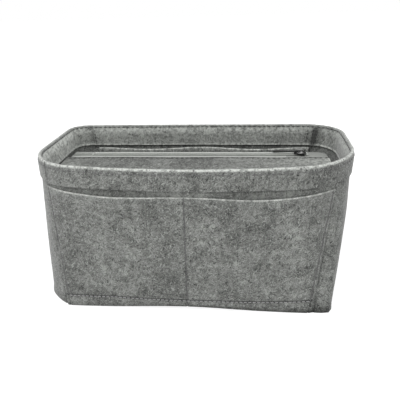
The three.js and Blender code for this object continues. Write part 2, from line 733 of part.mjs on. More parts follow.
pull.position.set(sliderX, zipY, pullAxisZ);
pull.rotation.set(0, PULL_DROOP, Math.PI - PULL_SWING, "ZYX");

// Divider: stands on the base under the rear tape, its ends against the end walls
const dividerTop = tapeBottom - GAP;
const dividerBottom = BASE_FELT + GAP;

function dividerReach(side, z) {
  const offset = -WALL_FELT - DIVIDER_CLEARANCE;
  const faces = [rearTapeRear - DIVIDER_FELT, rearTapeRear];
  const ends = faces.map((y) => Math.abs(endWallX(side, y, z, offset)));
  return Math.min(...ends);
}

function dividerPlan() {
  const cornerZ = dividerTop - DIVIDER_CORNER_RADIUS;
  const shape = new THREE.Shape();
  shape.moveTo(-dividerReach("left", dividerBottom), dividerBottom);
  for (let i = 0; i <= DIVIDER_ROWS; i++) {
    const z = THREE.MathUtils.lerp(dividerBottom, cornerZ, i / DIVIDER_ROWS);
    shape.lineTo(dividerReach("right", z), z);
  }
  const arcX = dividerReach("right", cornerZ) - DIVIDER_CORNER_RADIUS;
  shape.absarc(arcX, cornerZ, DIVIDER_CORNER_RADIUS, 0, Math.PI / 2);
  for (let i = DIVIDER_ROWS; i > 0; i--) {
    const z = THREE.MathUtils.lerp(dividerBottom, dividerTop, i / DIVIDER_ROWS);
    shape.lineTo(-dividerReach("left", z), z);
  }
  return shape;
}
const dividerOptions = { depth: DIVIDER_FELT, bevelEnabled: false, curveSegments: ARC_STEPS };
const divider = new THREE.ExtrudeGeometry(dividerPlan(), dividerOptions).rotateX(Math.PI / 2);
addPiece("divider_panel", divider.translate(0, rearTapeRear, 0), feltGrey);

// The origin lies on the floor under the middle of the part's box
const middle = new THREE.Box3().setFromObject(insert).getCenter(new THREE.Vector3());
insert.position.set(-middle.x, -middle.y, 0);

const part = new THREE.Group();
part.add(insert);
part.updateMatrixWorld(true);

export default part;
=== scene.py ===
# %% [markdown]
# This lesson builds a grey felt purse organizer: a soft tub that stands inside a handbag. Its mouth has a
# folded collar, its front has two slip pockets, and a zipped felt lid closes the space inside. A packed
# model gives the sizes and the moving bodies. We load it first, because every piece is sewn to the place
# it gives.

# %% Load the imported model
import math

import bmesh
import bpy
import numpy as np
from mathutils import Matrix, Vector, noise


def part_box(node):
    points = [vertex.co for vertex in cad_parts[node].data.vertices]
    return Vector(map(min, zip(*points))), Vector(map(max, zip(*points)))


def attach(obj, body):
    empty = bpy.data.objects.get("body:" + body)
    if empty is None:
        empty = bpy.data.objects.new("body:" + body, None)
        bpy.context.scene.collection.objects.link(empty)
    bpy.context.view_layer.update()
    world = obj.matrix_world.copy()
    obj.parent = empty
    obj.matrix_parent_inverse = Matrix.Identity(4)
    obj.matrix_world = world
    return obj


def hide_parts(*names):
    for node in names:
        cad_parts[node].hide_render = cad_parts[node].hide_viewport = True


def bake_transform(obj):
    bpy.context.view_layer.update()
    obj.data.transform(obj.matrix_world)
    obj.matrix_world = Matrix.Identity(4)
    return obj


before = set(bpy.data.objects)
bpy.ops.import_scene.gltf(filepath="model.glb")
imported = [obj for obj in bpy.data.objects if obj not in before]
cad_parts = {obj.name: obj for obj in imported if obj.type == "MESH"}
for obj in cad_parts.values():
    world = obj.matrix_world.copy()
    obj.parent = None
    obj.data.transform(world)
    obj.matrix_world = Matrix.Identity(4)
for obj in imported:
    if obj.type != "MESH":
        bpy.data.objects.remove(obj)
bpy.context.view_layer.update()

# %% [markdown]
# The camera comes next, so that every later step can be compared with the photograph. A product
# photograph like this one is taken from a little above, close enough for the front to look larger than
# the back. The lens, the place and the small roll were fitted to the edges of the rim, the collar and the
# base.

# %% Set the camera
MM = 0.001
PLAN_MIDDLE = (-0.36, 11.91)
TARGET = Vector((*PLAN_MIDDLE, 84.89)) * MM
DISTANCE = 530.97 * MM
ELEVATION = math.radians(20.97)
YAW = math.radians(6.726)
ROLL = math.radians(-1.916)
FRAME_PIXELS = 400
FOCAL_PIXELS = 513.65
MIDDLE_PIXEL = (197.04, 189.46)
SENSOR_WIDTH = 36

scene = bpy.context.scene
camera_data = bpy.data.cameras.new("camera")
camera_data.sensor_width = SENSOR_WIDTH
camera_data.lens = FOCAL_PIXELS / FRAME_PIXELS * SENSOR_WIDTH
camera_data.shift_x = 0.5 - MIDDLE_PIXEL[0] / FRAME_PIXELS
camera_data.shift_y = MIDDLE_PIXEL[1] / FRAME_PIXELS - 0.5
level = math.cos(ELEVATION)
back_axis = Vector((math.sin(YAW) * level, -math.cos(YAW) * level, math.sin(ELEVATION)))
level_axis = Vector((math.cos(YAW), math.sin(YAW), 0))
upright_axis = back_axis.cross(level_axis)
right_axis = level_axis * math.cos(ROLL) + upright_axis * math.sin(ROLL)
up_axis = upright_axis * math.cos(ROLL) - level_axis * math.sin(ROLL)
turn = Matrix((right_axis, up_axis, back_axis)).transposed().to_4x4()
camera = bpy.data.objects.new("camera", camera_data)
camera.matrix_world = Matrix.Translation(TARGET + back_axis * DISTANCE) @ turn
scene.collection.objects.link(camera)
scene.camera = camera
print("lens", round(camera_data.lens, 1), "mm at", [round(c, 3) for c in camera.matrix_world.translation])

# %% [markdown]
# Seen from above, the tub is a rounded rectangle whose long sides bow out. The mouth is longer than the
# base and bows more, so the walls lean out as they rise. One outline for each of the two levels is
# enough: a point of the wall lies on the straight line between them. Each corner is a cubic curve, so
# one number sets how full it is. Four seams split the outline into front, right, back and left.

# %% Draw the outlines of the mouth and the base
ORIGIN_SHIFT = np.array(PLAN_MIDDLE) * MM
SIDES = ("front", "right", "back", "left")
CORNER_SIDES = ((1, -1), (1, 1), (-1, 1), (-1, -1))
ROUND = 0.5523
FLAT_CORNER = 0.25
CORNER_POINTS = 48
OUTLINE_POINTS = 1441


def each_side(*values):
    return dict(zip(SIDES, values))


def run_of(points):
    """Distances along a line of points, from its start"""
    return np.concatenate([[0], np.cumsum(np.linalg.norm(np.diff(points, axis=0), axis=1))])


def corner_curve(start, corner, end, fullness):
    t = np.linspace(0, 1, CORNER_POINTS)[:, None]
    first, second = (point + (corner - point) * fullness for point in (start, end))
    leaving = (1 - t) ** 3 * start + 3 * t * (1 - t) ** 2 * first
    return leaving + 3 * t ** 2 * (1 - t) * second + t ** 3 * end


class Outline:
    """Plan of the tub at one level, anticlockwise from the middle of the front"""

    def __init__(self, length, depth, centre, corners, bows, seams):
        right, back = length / 2, depth / 2
        path = [[(0, -back)]]
        for k, ((side_x, side_y), (radius_x, radius_y, fullness)) in enumerate(zip(CORNER_SIDES, corners)):
            corner = np.array([side_x * right, side_y * back])
            ends = [corner - (side_x * radius_x, 0), corner - (0, side_y * radius_y)]
            start, end = ends if k % 2 == 0 else ends[::-1]
            path.append(corner_curve(start, corner, end, fullness))
        path = np.concatenate([*path, [(0, -back)]])
        run = run_of(path)
        even = np.linspace(0, run[-1], OUTLINE_POINTS)
        x, y = (np.interp(even, run, path[:, axis]) for axis in (0, 1))
        y = y + np.where(y < 0, *bows) * (1 - (x / right) ** 2) * (y / back)
        middle = np.array(centre) * MM + ORIGIN_SHIFT
        self.points = np.column_stack([x, y]) * MM + middle
        self.run = run_of(self.points)
        self.total = self.run[-1]
        front_right, back_right, back_left, front_left = (
            self.crossing(middle[0] + side_x * seam_x * MM, middle[1], side_y)
            for (side_x, side_y), seam_x in zip(CORNER_SIDES, seams)
        )
        starts = (front_left - self.total, front_right, back_right, back_left)
        self.sides = each_side(*zip(starts, (front_right, back_right, back_left, front_left)))

    def crossing(self, x, middle_y, half):
        """Distance along the outline where it crosses a given X, in its front or back half"""
        a, b = self.points[:-1], self.points[1:]
        passes = ((a[:, 0] - x) * (b[:, 0] - x) <= 0) & (a[:, 0] != b[:, 0])
        i = int(np.argmax(passes & ((a[:, 1] - middle_y) * half > 0)))
        share = (x - a[i, 0]) / (b[i, 0] - a[i, 0])
        return self.run[i] + share * (self.run[i + 1] - self.run[i])

    def length(self, side):
        return self.sides[side][1] - self.sides[side][0]

    def at(self, side, u):
        start, end = self.sides[side]
        along = np.mod(start + u * (end - start), self.total)
        return np.stack([np.interp(along, self.run, self.points[:, axis]) for axis in (0, 1)], -1)


mouth_corners = ((50, 50, ROUND), (36, 36, ROUND), (19, 19, ROUND), (42, 42, ROUND))
foot_corners = ((6, 14, ROUND), (33, 33, ROUND), (33, 33, ROUND), (26, 27, FLAT_CORNER))
mouth = Outline(297.2, 136, (0.6, 0), mouth_corners, (20, 1), (129.4, 125.4, 125.6, 130.6))
foot = Outline(270.6, 152.5, (-5.7, -11.75), foot_corners, (0, 0), (113.5, 114.5, 110.5, 108.5))
print("round the mouth", round(mouth.total, 3), "m, round the base", round(foot.total, 3), "m")

# %% [markdown]
# Felt stands by its own stiffness, but it is never quite flat. A slow wave, nothing at the seams and the
# rim, moves all the layers at one place together, so that the sewn layers stay on each other. The right
# end also bellies out between its seams.

# %% Find a place on the wall
RIM_HEIGHT = 136.5 * MM
TANGENT_STEP = 0.004
SWAY = 1.3 * MM
SWAY_PHASE = each_side(0.4, 1.9, 3.1, 4.6)
SWAY_WAVES = ((0.35, 8, 4, 1), (0.15, 17, -5, 2))
RIGHT_BELLY = 4.8 * MM


def sway(side, u, z):
    """How far the felt stands out of the straight wall"""
    low = 1 - z / RIM_HEIGHT
    wave = 0.5
    for size, along, down, turns in SWAY_WAVES:
        wave = wave + size * np.sin(along * u + down * low + turns * SWAY_PHASE[side])
    hollow = np.clip(4 * low * (1 - low), 0, 1)
    out = SWAY * wave * hollow
    if side == "right":
        out = out + RIGHT_BELLY * np.where(low < 0.5, np.sin(np.pi * low) ** 2, hollow)
    return out * np.clip(np.sin(np.pi * u), 0, 1)


def unit(vectors):
    return vectors / np.linalg.norm(vectors, axis=-1, keepdims=True)


def wall_place(side, u, z, offset):
    """Points on the tub: u along a side, z above the floor, offset out from the wall's outer face"""
    u, z, offset = np.broadcast_arrays(*(np.asarray(value, float) for value in (u, z, offset)))
    share = (z / RIM_HEIGHT)[..., None]

    def plan(at_u):
        return foot.at(side, at_u) * (1 - share) + mouth.at(side, at_u) * share

    along = unit(plan(u + TANGENT_STEP) - plan(u - TANGENT_STEP))
    push = (offset + sway(side, u, z))[..., None]
    flat = plan(u) + np.stack([along[..., 1], -along[..., 0]], -1) * push
    return np.concatenate([flat, z[..., None]], -1)


print("middle of the front rim", np.round(wall_place("front", 0.5, RIM_HEIGHT, 0), 4))

# %% [markdown]
# A finish is a small network of shader nodes. Adding nodes one by one makes long code, so two helpers
# take that up: one makes a node and sets or links its sockets, and a class keeps the nodes of one
# material together. Constants go straight to the shader, and only what varies over the surface comes
# through nodes.

# %% Wire up a finish
PLAIN = (1.0, 1.0, 1.0)


def set_sockets(tree, made, sockets):
    """Sets each socket to a value, or links it to another node's output. _0 is a node's first input"""
    for name, value in sockets.items():
        key = int(name[1:]) if name[0] == "_" else name.replace("_", " ")
        if isinstance(value, bpy.types.NodeSocket):
            tree.links.new(value, made.inputs[key])
        else:
            made.inputs[key].default_value = value


def node_of(tree, kind, settings=None, **sockets):
    made = tree.nodes.new("ShaderNode" + kind)
    for name, value in (settings or {}).items():
        setattr(made, name, value)
    set_sockets(tree, made, sockets)
    return made


def grey(value, tint=PLAIN):
    """A colour written as an sRGB level from 0 to 255, in linear light"""
    level = value / 255
    linear = level / 12.92 if level <= 0.04045 else ((level + 0.055) / 1.055) ** 2.4
    return tuple(linear * part for part in tint) + (1.0,)


class Finish:
    """A node material, with short calls for what the finishes here are made of"""

    def __init__(self, name):
        self.material = bpy.data.materials.new(name)
        self.material.use_nodes = True
        self.tree = self.material.node_tree
        self.coords = self.node("TexCoord").outputs
        self.place = self.coords["Object"]

    def node(self, kind, settings=None, **sockets):
        return node_of(self.tree, kind, settings, **sockets)

    def math(self, operation, *values):
        inputs = {f"_{k}": value for k, value in enumerate(values)}
        return self.node("Math", {"operation": operation}, **inputs).outputs[0]

    def vector(self, operation, *values, **more):
        inputs = {f"_{k}": value for k, value in enumerate(values)}
        return self.node("VectorMath", {"operation": operation}, **inputs, **more).outputs

    def noise(self, scale, detail, **more):
        return self.node("TexNoise", Vector=self.place, Scale=scale, Detail=detail, **more).outputs["Fac"]

    def ranged(self, value, low, high, start=0.0, end=1.0):
        """A value that runs from start to end, spread from low to high"""
        sockets = {"From_Min": start, "From_Max": end, "To_Min": low, "To_Max": high}
        return self.node("MapRange", Value=value, **sockets).outputs[0]

    def shade(self, value, darkest, palest, tint=PLAIN, start=0.0):
        """A grey between two levels"""
        ramp = self.node("ValToRGB", Fac=value)
        ends = ramp.color_ramp.elements
        ends[0].position = start
        ends[0].color, ends[1].color = grey(darkest, tint), grey(palest, tint)
        return ramp.outputs[0]

    def bump(self, height, strength, distance):
        return self.node("Bump", Strength=strength, Distance=distance, Height=height).outputs[0]

    def done(self, **sockets):
        """Joins colour, roughness and the rest to the shader"""
        set_sockets(self.tree, self.tree.nodes["Principled BSDF"], sockets)
        return self.material


print("mid grey in linear light", [round(part, 3) for part in grey(128)])

# %% [markdown]
# Wool-like felt is a mat of short curled fibres in two or three greys. From a step away it looks
# heathered: pale and dark flecks over slow cloudy patches. A picture of felt would do, but a node
# material works from every side and at every scale. Noise gives the clouds, and stretched and bent noise
# gives the fibres. Two values stored on the mesh paint light and shade into the colour: painted light pales
# the cut edges, the crest and the facings, where loose worn fibres also pale the felt, and painted shade
# darkens creases, grooves and gaps.

# %% Make the felt
FELT_LEVEL = 128
LID_SHADED_LEVEL = 120
PAINTED_LIGHT_LEVEL = 228
PAINTED_SHADE_LEVEL = 30
DARK_FIBRE = 0.36
PALE_FIBRE = 1.5
FELT_TINT = (0.968, 1.0, 0.945)
FIBRE_TURNS = ((0, -0.5, 0.1), (1, 0.6, -0.2), (2, -1.3, 0.6), (3, 0.1, 1.4), (4, 0.9, 1.9), (5, -0.1, -0.7))
FIBRE_SIZE = (8.5 * MM, 1.1 * MM, 1.1 * MM)
FIBRE_CURL = 5 * MM
CLOUDS = ((20.0, 0.25), (75.0, 0.32), (240.0, 0.28))


def felt_material(name, level, coarse=1.0, contrast=1.0, sheen=0.5):
    """Heathered felt. The clouds and fibres grow with coarse, and the clouds deepen with contrast"""
    made = Finish(name)

    def speckle(scale, low, high):
        return made.ranged(made.noise(scale / coarse, 2.0, Roughness=0.6), low, high, 0.32, 0.68)

    def mixed(blend, share, under, over):
        settings = {"data_type": "RGBA", "blend_type": blend}
        return made.node("Mix", settings, Factor=share, A=under, B=over).outputs["Result"]

    def stored(name):
        return made.node("Attribute", {"attribute_name": name}).outputs["Fac"]

    curl = made.node("TexNoise", Vector=made.place, Scale=170.0, Detail=1.0).outputs["Color"]
    centred = made.vector("SUBTRACT", curl, (0.5, 0.5, 0.5))[0]
    bent = made.vector("ADD", made.place, made.vector("SCALE", centred, Scale=FIBRE_CURL)[0])[0]
    fibres = []
    for turned in FIBRE_TURNS:
        size = [part * coarse for part in FIBRE_SIZE]
        sockets = {"Vector": bent, "Rotation": turned, "Scale": size}
        stretched = made.node("Mapping", {"vector_type": "TEXTURE"}, **sockets)
        fibre = made.node("TexNoise", Vector=stretched.outputs[0], Scale=1.0, Detail=1.5, Roughness=0.55)
        fibres.append(fibre.outputs["Fac"])
    darkest = palest = fibres[0]
    for fibre in fibres[1:]:
        darkest = made.math("MINIMUM", darkest, fibre)
        palest = made.math("MAXIMUM", palest, fibre)
    grain = speckle(1300.0, 0.68, 1.32)
    tone = grain
    for scale, depth in CLOUDS:
        tone = made.math("MULTIPLY", tone, speckle(scale, 1 - depth * contrast, 1 + depth * contrast))
    # Painted light, partly real wear: the stored light value, mottled by noise, pales the felt towards
    # near-white
    painted_light_and_wear = made.math("MULTIPLY", stored("edge_light"), speckle(330.0, 0.1, 1.65))
    painted_light_and_wear = made.math("MULTIPLY", painted_light_and_wear, speckle(900.0, 0.6, 1.4))
    colour = mixed("MULTIPLY", 1.0, grey(level, FELT_TINT), tone)
    for share, paint in (
        (made.ranged(darkest, 0.0, 0.95, 0.39, 0.26), level * DARK_FIBRE),
        (made.ranged(palest, 0.0, 0.8, 0.62, 0.76), level * PALE_FIBRE),
        (painted_light_and_wear, PAINTED_LIGHT_LEVEL),
        # painted shade: the stored shade value darkens the felt towards near-black
        (stored("edge_shade"), PAINTED_SHADE_LEVEL),
    ):
        colour = mixed("MIX", share, colour, grey(paint, FELT_TINT))
    height = made.math("ADD", made.math("ADD", palest, darkest), made.math("MULTIPLY", grain, 0.3))
    return made.done(Base_Color=colour, Normal=made.bump(height, 0.6, 0.6 * MM), Roughness=0.95,
                     Specular_IOR_Level=0.1, Sheen_Weight=sheen, Sheen_Roughness=0.5)


felt = felt_material("heather_felt", FELT_LEVEL)
# The lid is the same felt at a lower level, as painted shade, so that the lid, which faces up into the
# light, looks no brighter than the walls
lid_felt = felt_material("lid_felt", LID_SHADED_LEVEL, coarse=1.35, contrast=1.05, sheen=0.15)
print("felt materials with", len(felt.node_tree.nodes), "nodes each")

# %% [markdown]
# Every felt piece is a grid of points. Even spacing would waste points in the middle of a panel and miss
# the soft cut edge, so the points lie closer at the edges, and beside each stitched line, where the
# thread presses the felt in. A bell curve gives everything here that is strongest on a line and fades
# beside it.

# %% Space the points of a sheet
EDGE_STEPS = np.array([0, 0.1, 0.32, 0.7, 1.2]) * MM
SEAM_STEPS = np.array([-2.4, -1.2, -0.55, 0, 0.55, 1.2, 2.4]) * MM
SEAM_CLEAR = 3 * MM
SEAM_WIDTH = 0.9 * MM
CLOSEST = 0.08 * MM


def spread(length, step, marks=(), more=()):
    """Distances along a sheet, closer at both cut edges and beside each stitched line"""
    even = np.linspace(EDGE_STEPS[-1], length - EDGE_STEPS[-1], max(2, round(length / step)))
    for mark in marks:
        even = even[np.abs(even - mark) > SEAM_CLEAR]
    beside = [mark + SEAM_STEPS for mark in marks]
    joined = np.concatenate([EDGE_STEPS, even, length - EDGE_STEPS, more, *beside])
    joined = np.unique(joined[(joined >= 0) & (joined <= length)])
    kept = np.concatenate([[True], np.diff(joined) > CLOSEST])
    kept[-1] = True
    if joined[-1] - joined[kept][-2] < CLOSEST:
        kept[np.flatnonzero(kept)[-2]] = False
    return joined[kept]


def bell(distance, width):
    return np.exp(-((distance / width) ** 2))


def near(distance, marks, width=SEAM_WIDTH):
    """1 on each of the marks, falling to 0 beside them"""
    return sum((bell(distance - mark, width) for mark in marks), np.zeros_like(distance))


def nearest(distances, mark):
    return int(np.argmin(np.abs(distances - mark)))


def from_edge(along, up):
    """Distance of each grid point from the sheet's nearest cut edge"""
    near_end, near_top = (np.minimum(line, line.max() - line) for line in (along, up))
    return np.minimum(near_end[:, None], near_top)


print(len(spread(mouth.length("front"), 4 * MM)), "points along the front at 4 mm")

# %% [markdown]
# A sheet has a real thickness and a soft cut edge. A Solidify modifier gives square edges, so here the
# sheet is drawn as two skins that meet at the cut: the thickness swells from nothing at the edge within
# the first millimetre. Small lumps keep the wide panels from looking like plastic. Each sheet also says
# what it stands for in the imported model and what it moves with.

# %% Make a felt sheet
EDGE_ROUND = 0.9 * MM
SEAM_DEPTH = 0.6 * MM
LUMP_HEIGHT = 0.16 * MM
LUMP_SCALE = 95
PALE_WIDTH = 1.0 * MM


def lumps(points):
    flat = points.reshape(-1, 3) * LUMP_SCALE
    heights = [noise.noise(Vector(p)) + 0.5 * noise.noise(Vector(p * 2.3)) for p in flat]
    return np.array(heights).reshape(points.shape[:-1]) * LUMP_HEIGHT


def add_values(mesh, name, values):
    layer = mesh.attributes.new(name, "FLOAT", "POINT")
    layer.data.foreach_set("value", np.asarray(values, np.float32).ravel())


def make_object(name, points, faces, material, smooth=True):
    mesh = bpy.data.meshes.new(name)
    mesh.from_pydata(np.asarray(points).tolist(), [], [list(face) for face in faces])
    mesh.materials.append(material)
    mesh.polygons.foreach_set("use_smooth", [smooth] * len(mesh.polygons))
    mesh.update()
    made = bpy.data.objects.new(name, mesh)
    scene.collection.objects.link(made)
    return made


def skin_faces(index):
    """Quads over a grid, split at its corners towards the middle, so that two skins don't touch there"""
    cells = np.stack([index[:-1, :-1], index[1:, :-1], index[1:, 1:], index[:-1, 1:]], -1)
    whole = np.ones(cells.shape[:2], bool)
    whole[[0, 0, -1, -1], [0, -1, 0, -1]] = False
    faces = cells[whole].tolist()
    for row, column, turn in ((0, 0, 0), (0, -1, 1), (-1, 0, 1), (-1, -1, 0)):
        a, b, c, d = np.roll(cells[row, column], -turn).tolist()
        faces += [[a, b, c], [a, c, d]]
    return faces


def felt_sheet(name, grid, thickness, edge, dent=0.0, outside=(0.0, 0.0), inside=None, material=felt):
    """Closed sheet round a grid of middle points; outside and inside hold the light and shade of its skins.
    Returns the object, and its outer skin with the skin's normals"""
    normal = unit(np.cross(np.gradient(grid, axis=0), np.gradient(grid, axis=1)))
    half = thickness / 2 * (1 - (1 - np.clip(edge / EDGE_ROUND, 0, 1)) ** 3) ** (1 / 3)
    outer = grid + normal * (half - dent + lumps(grid))[..., None]
    inner = grid - normal * half[..., None]
    rows, columns = edge.shape
    top = np.arange(rows * columns).reshape(rows, columns)
    below = top.copy()
    below[1:-1, 1:-1] = top.size + np.arange((rows - 2) * (columns - 2)).reshape(rows - 2, columns - 2)
    faces = skin_faces(top) + [face[::-1] for face in skin_faces(below)]
    points = np.concatenate([outer.reshape(-1, 3), inner[1:-1, 1:-1].reshape(-1, 3)])
    made = make_object(name, points, faces, material)
    for layer, *skins in zip(("edge_light", "edge_shade"), outside, inside or outside):
        over, under = (np.clip(np.broadcast_to(values, edge.shape), 0, 1) for values in skins)
        add_values(made.data, layer, np.concatenate([over.ravel(), under[1:-1, 1:-1].ravel()]))
    return made, {"skin": outer, "normal": normal}


def stand_for(piece, node, body):
    """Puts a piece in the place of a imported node"""
    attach(piece, body)
    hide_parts(node)


print("felt edges are soft over", round(EDGE_ROUND / MM, 1), "mm")

# %% [markdown]
# The tub is sewn from a front panel, a back panel and two end gussets that take in the corners. Each is
# one sheet that follows its side of the outlines. The middle of the front's lower edge is drawn up a
# little, as thread puckers felt.

# %% Measure the walls
WALL_FELT = 2.4 * MM
COLLAR_FELT = 1.8 * MM
POCKET_FELT = 2 * MM
PRESSED_FELT = 0.5 * MM
GAP = 0.3 * MM
WALL_TOP = RIM_HEIGHT - COLLAR_FELT - GAP
WALL_STEPS = (4.5 * MM, 5 * MM)
COLLAR_ROWS = np.arange(108, 120) * MM
COLLAR_PRESS = (118 * MM, 131 * MM)
COLLAR_EDGE = RIM_HEIGHT - 19.5 * MM
FACING_EDGE = 115 * MM
FOOT_STITCH = 11 * MM
SIDE_STITCH = 4 * MM
PUCKER = 3.0 * MM
PUCKER_PLACE = 0.5
PUCKER_WIDTH = 0.24
FOOT_FLARE = 0.8 * MM
FOOT_REACH = 3 * MM
RIGHT_TOE = 0.6 * MM
RIGHT_TOE_HEIGHT = 14 * MM
TOE_FADE = (0.11, 0.22)


def foot_lift(side, u):
    """Height of the lower edge of the wall above the floor"""
    return PUCKER * bell(u - PUCKER_PLACE, PUCKER_WIDTH) if side == "front" else np.zeros_like(u)


def seam_share(along):
    """Share of a side at distances along it, from seam to seam"""
    return (along / along[-1])[:, None]


def wall_grid(side, along, up, offset):
    u = seam_share(along)
    lift = foot_lift(side, u)
    return wall_place(side, u, lift + up * (1 - lift / up[-1]), offset)


def wall_node(side):
    return f"{side}_wall" if side in ("front", "back") else f"{side}_end_wall"


print("walls", round(WALL_TOP, 4), "m high, collar down to", round(COLLAR_EDGE, 4), "m")

# %% [markdown]
# The shade under the collar and along the foot is painted shade, stored on the mesh, because it lies in gaps
# that are too narrow for soft light to show from afar. Inside, painted shade darkens the walls just under
# the facing at the front and the back, and painted light pales them at the right end and most at the left
# end.
# Painted light also pales the front wall between the collar and the pocket, and painted shade darkens the
# stitched grooves and the toe of the right end.

# %% Sew the walls of the tub
STITCH_SHADE = 0.35
COLLAR_DARK = 0.4
COLLAR_LINE = COLLAR_EDGE - 0.3 * MM
COLLAR_SHADOW = 0.9 * MM
FACING_SHADE = each_side(0.9, 0.2, 0.9, 0.0)
FACING_LINE = FACING_EDGE - 0.5 * MM
FACING_SHADOW = 2.2 * MM
INSIDE_LIGHT = each_side(0.0, 0.12, 0.0, 0.6)
INSIDE_REACH = 14 * MM
INSIDE_FADE = (35 * MM, 105 * MM)
SLOT_LIGHT = each_side(0.16, 0.0, 0.0, 0.0)
SLOT_MIDDLE = 111 * MM
SLOT_REACH = 5 * MM
FOOT_DARK = (0.5, 1.0)
FOOT_SHADE = 1.8 * MM
TOE_SHADE = 0.35
TOE_SHADE_HEIGHT = 8 * MM

walls = {}
for side in ("front", "back", "left", "right"):
    length = mouth.length(side)
    marks = (SIDE_STITCH, length - SIDE_STITCH) if side in ("left", "right") else ()
    rows = (FOOT_STITCH,) if side == "back" else ()
    along = spread(length, WALL_STEPS[0], marks)
    up = spread(WALL_TOP, WALL_STEPS[1], rows, COLLAR_ROWS)
    toe = np.interp(along / length, TOE_FADE, (1, 0))[:, None] if side == "right" else 0.0
    thickness = np.interp(up, COLLAR_PRESS, (WALL_FELT, PRESSED_FELT))
    flare = FOOT_FLARE * bell(up, FOOT_REACH) + RIGHT_TOE * bell(up, RIGHT_TOE_HEIGHT) * toe
    grid = wall_grid(side, along, up, flare - thickness / 2)
    groove = np.maximum(near(along, marks)[:, None], near(up, rows))
    # Painted shade in the stitched grooves and under the collar, then along the foot and at the right toe
    shade = STITCH_SHADE * groove + COLLAR_DARK * bell(up - COLLAR_LINE, COLLAR_SHADOW)
    shade = shade + FOOT_DARK[0] * bell(up, FOOT_SHADE) + TOE_SHADE * bell(up, TOE_SHADE_HEIGHT) * toe
    # Painted light on the inside of the walls under the facing
    inner_light = INSIDE_LIGHT[side] * bell(up - FACING_EDGE, INSIDE_REACH)
    if side == "left":
        inner_light = inner_light * np.interp(along, INSIDE_FADE, (0, 1))[:, None]
    outside = (SLOT_LIGHT[side] * bell(up - SLOT_MIDDLE, SLOT_REACH), shade)
    inside = (inner_light, FACING_SHADE[side] * bell(up - FACING_LINE, FACING_SHADOW))
    node = wall_node(side)
    piece, walls[side] = felt_sheet(
        f"{node}_felt", grid, thickness, from_edge(along, up), SEAM_DEPTH * groove, outside, inside)
    stand_for(piece, node, "shell")
    walls[side].update(along=along, up=up, marks=marks)

# %% [markdown]
# The base is one panel inside the foot of the walls. Rings from its middle to its edge give a grid that
# closes on itself, so it is made as a closed plate and not as an open sheet. Its front edge is drawn up
# with the wall, and the outer rings take up the bend.

# %% Lay the base panel
BASE_FELT = 3 * MM
BASE_ROUND = 0.97
BASE_RINGS = np.array([0.25, 0.5, 0.75, 0.9, BASE_ROUND, 0.99, 1.0])
BASE_EDGE_STEPS = 40
BASE_FLAT = 0.5
BASE_EDGE_DROP = 0.45 * BASE_FELT
BASE_EDGE_SHADE = 0.9


def ring_quads(index):
    """Quads between rings, given as rows of the points' numbers"""
    turned = np.roll(index, -1, -1)
    corners = [index[..., :-1, :], index[..., 1:, :], turned[..., 1:, :], turned[..., :-1, :]]
    return np.stack(corners, -1).reshape(-1, 4).tolist()


steps = np.linspace(0, 1, BASE_EDGE_STEPS, endpoint=False)
edge = np.concatenate([wall_place(side, steps, 0.0, -WALL_FELT - GAP) for side in SIDES])
middle = edge.mean(0)
share = BASE_RINGS[:, None]
drawn_up = np.concatenate([foot_lift(side, steps) for side in SIDES])
drawn_up = drawn_up * np.clip((share - BASE_FLAT) / (1 - BASE_FLAT), 0, None) ** 2
drop = BASE_EDGE_DROP * np.clip((share - BASE_ROUND) / (1 - BASE_ROUND), 0, None)
under = middle + (edge - middle) * share[..., None]
over = under.copy()
under[..., 2] = drop + drawn_up
over[..., 2] = BASE_FELT - drop + drawn_up
centres = [[*middle[:2], 0.0], [*middle[:2], BASE_FELT]]
low = np.arange(drawn_up.size).reshape(drawn_up.shape)
high = low + low.size
fans = [
    [[centre + 2 * low.size, a, b] for a, b in zip(ring, np.roll(ring, -1))]
    for centre, ring in enumerate((low[0], high[0]))
]
faces = [face[::-1] for face in ring_quads(low) + fans[0]] + ring_quads(high) + fans[1]
faces += ring_quads(np.stack([high[-1], low[-1]]))
base = make_object("base_panel_felt", [*under.reshape(-1, 3), *over.reshape(-1, 3), *centres], faces, felt)
# Painted shadow darkens the outer rings of the base, where its lifted edge stands over the floor
dark = np.where(share >= BASE_ROUND, BASE_EDGE_SHADE, 0.0) + np.zeros_like(drawn_up)
add_values(base.data, "edge_shade", [*dark.ravel(), *dark.ravel(), 0.0, 0.0])
stand_for(base, "base_panel", "shell")
x, y = edge[:, 0], edge[:, 1]

# %% [markdown]
# The collar is a strip of felt folded over the mouth: one leaf outside, and a longer leaf inside, which a
# tailor calls a facing. Its section is a line that runs up the outside, over a flat top with two tight
# bends, and down the inside, so one grid gives the whole strip. A line of stitches under the fold pinches
# both leaves, and the felt swells again below it. The loose lower edges stand off the wall or press on to
# it.

# %% Draw the section of the collar
TOP_FELT = 1.1 * MM
TOP_OUT = GAP + TOP_FELT / 2
TOP_IN = -PRESSED_FELT - GAP / 2 - TOP_FELT / 2
LEAF_OUT = GAP + COLLAR_FELT / 2
LEAF_IN = -WALL_FELT - GAP - COLLAR_FELT / 2
FOLD_TOP = RIM_HEIGHT - TOP_FELT / 2
FOLD_BEND = 0.6 * MM
SWELL = RIM_HEIGHT - 9 * MM
OUTER_STITCH = RIM_HEIGHT - 4.6 * MM - COLLAR_EDGE
INNER_STITCH_DROP = 1.9 * MM
FLARE_REACH = 9 * MM
FLARE_WAVES = 55
OUTER_FLARE = each_side(0.4 * MM, -0.2 * MM, 0.3 * MM, -0.5 * MM)
INNER_FLARE = each_side(0.1 * MM, 0.3 * MM, 0.9 * MM, 0.3 * MM)
LOW_FACING = each_side((0.07, 0.07), (0.07, 0.04), (0.04, 0.04), (0.04, 0.07))
SEAM_ROLL = each_side((0, 0), (0, 1.4 * MM), (1.4 * MM, 0.3 * MM), (0.3 * MM, 0))
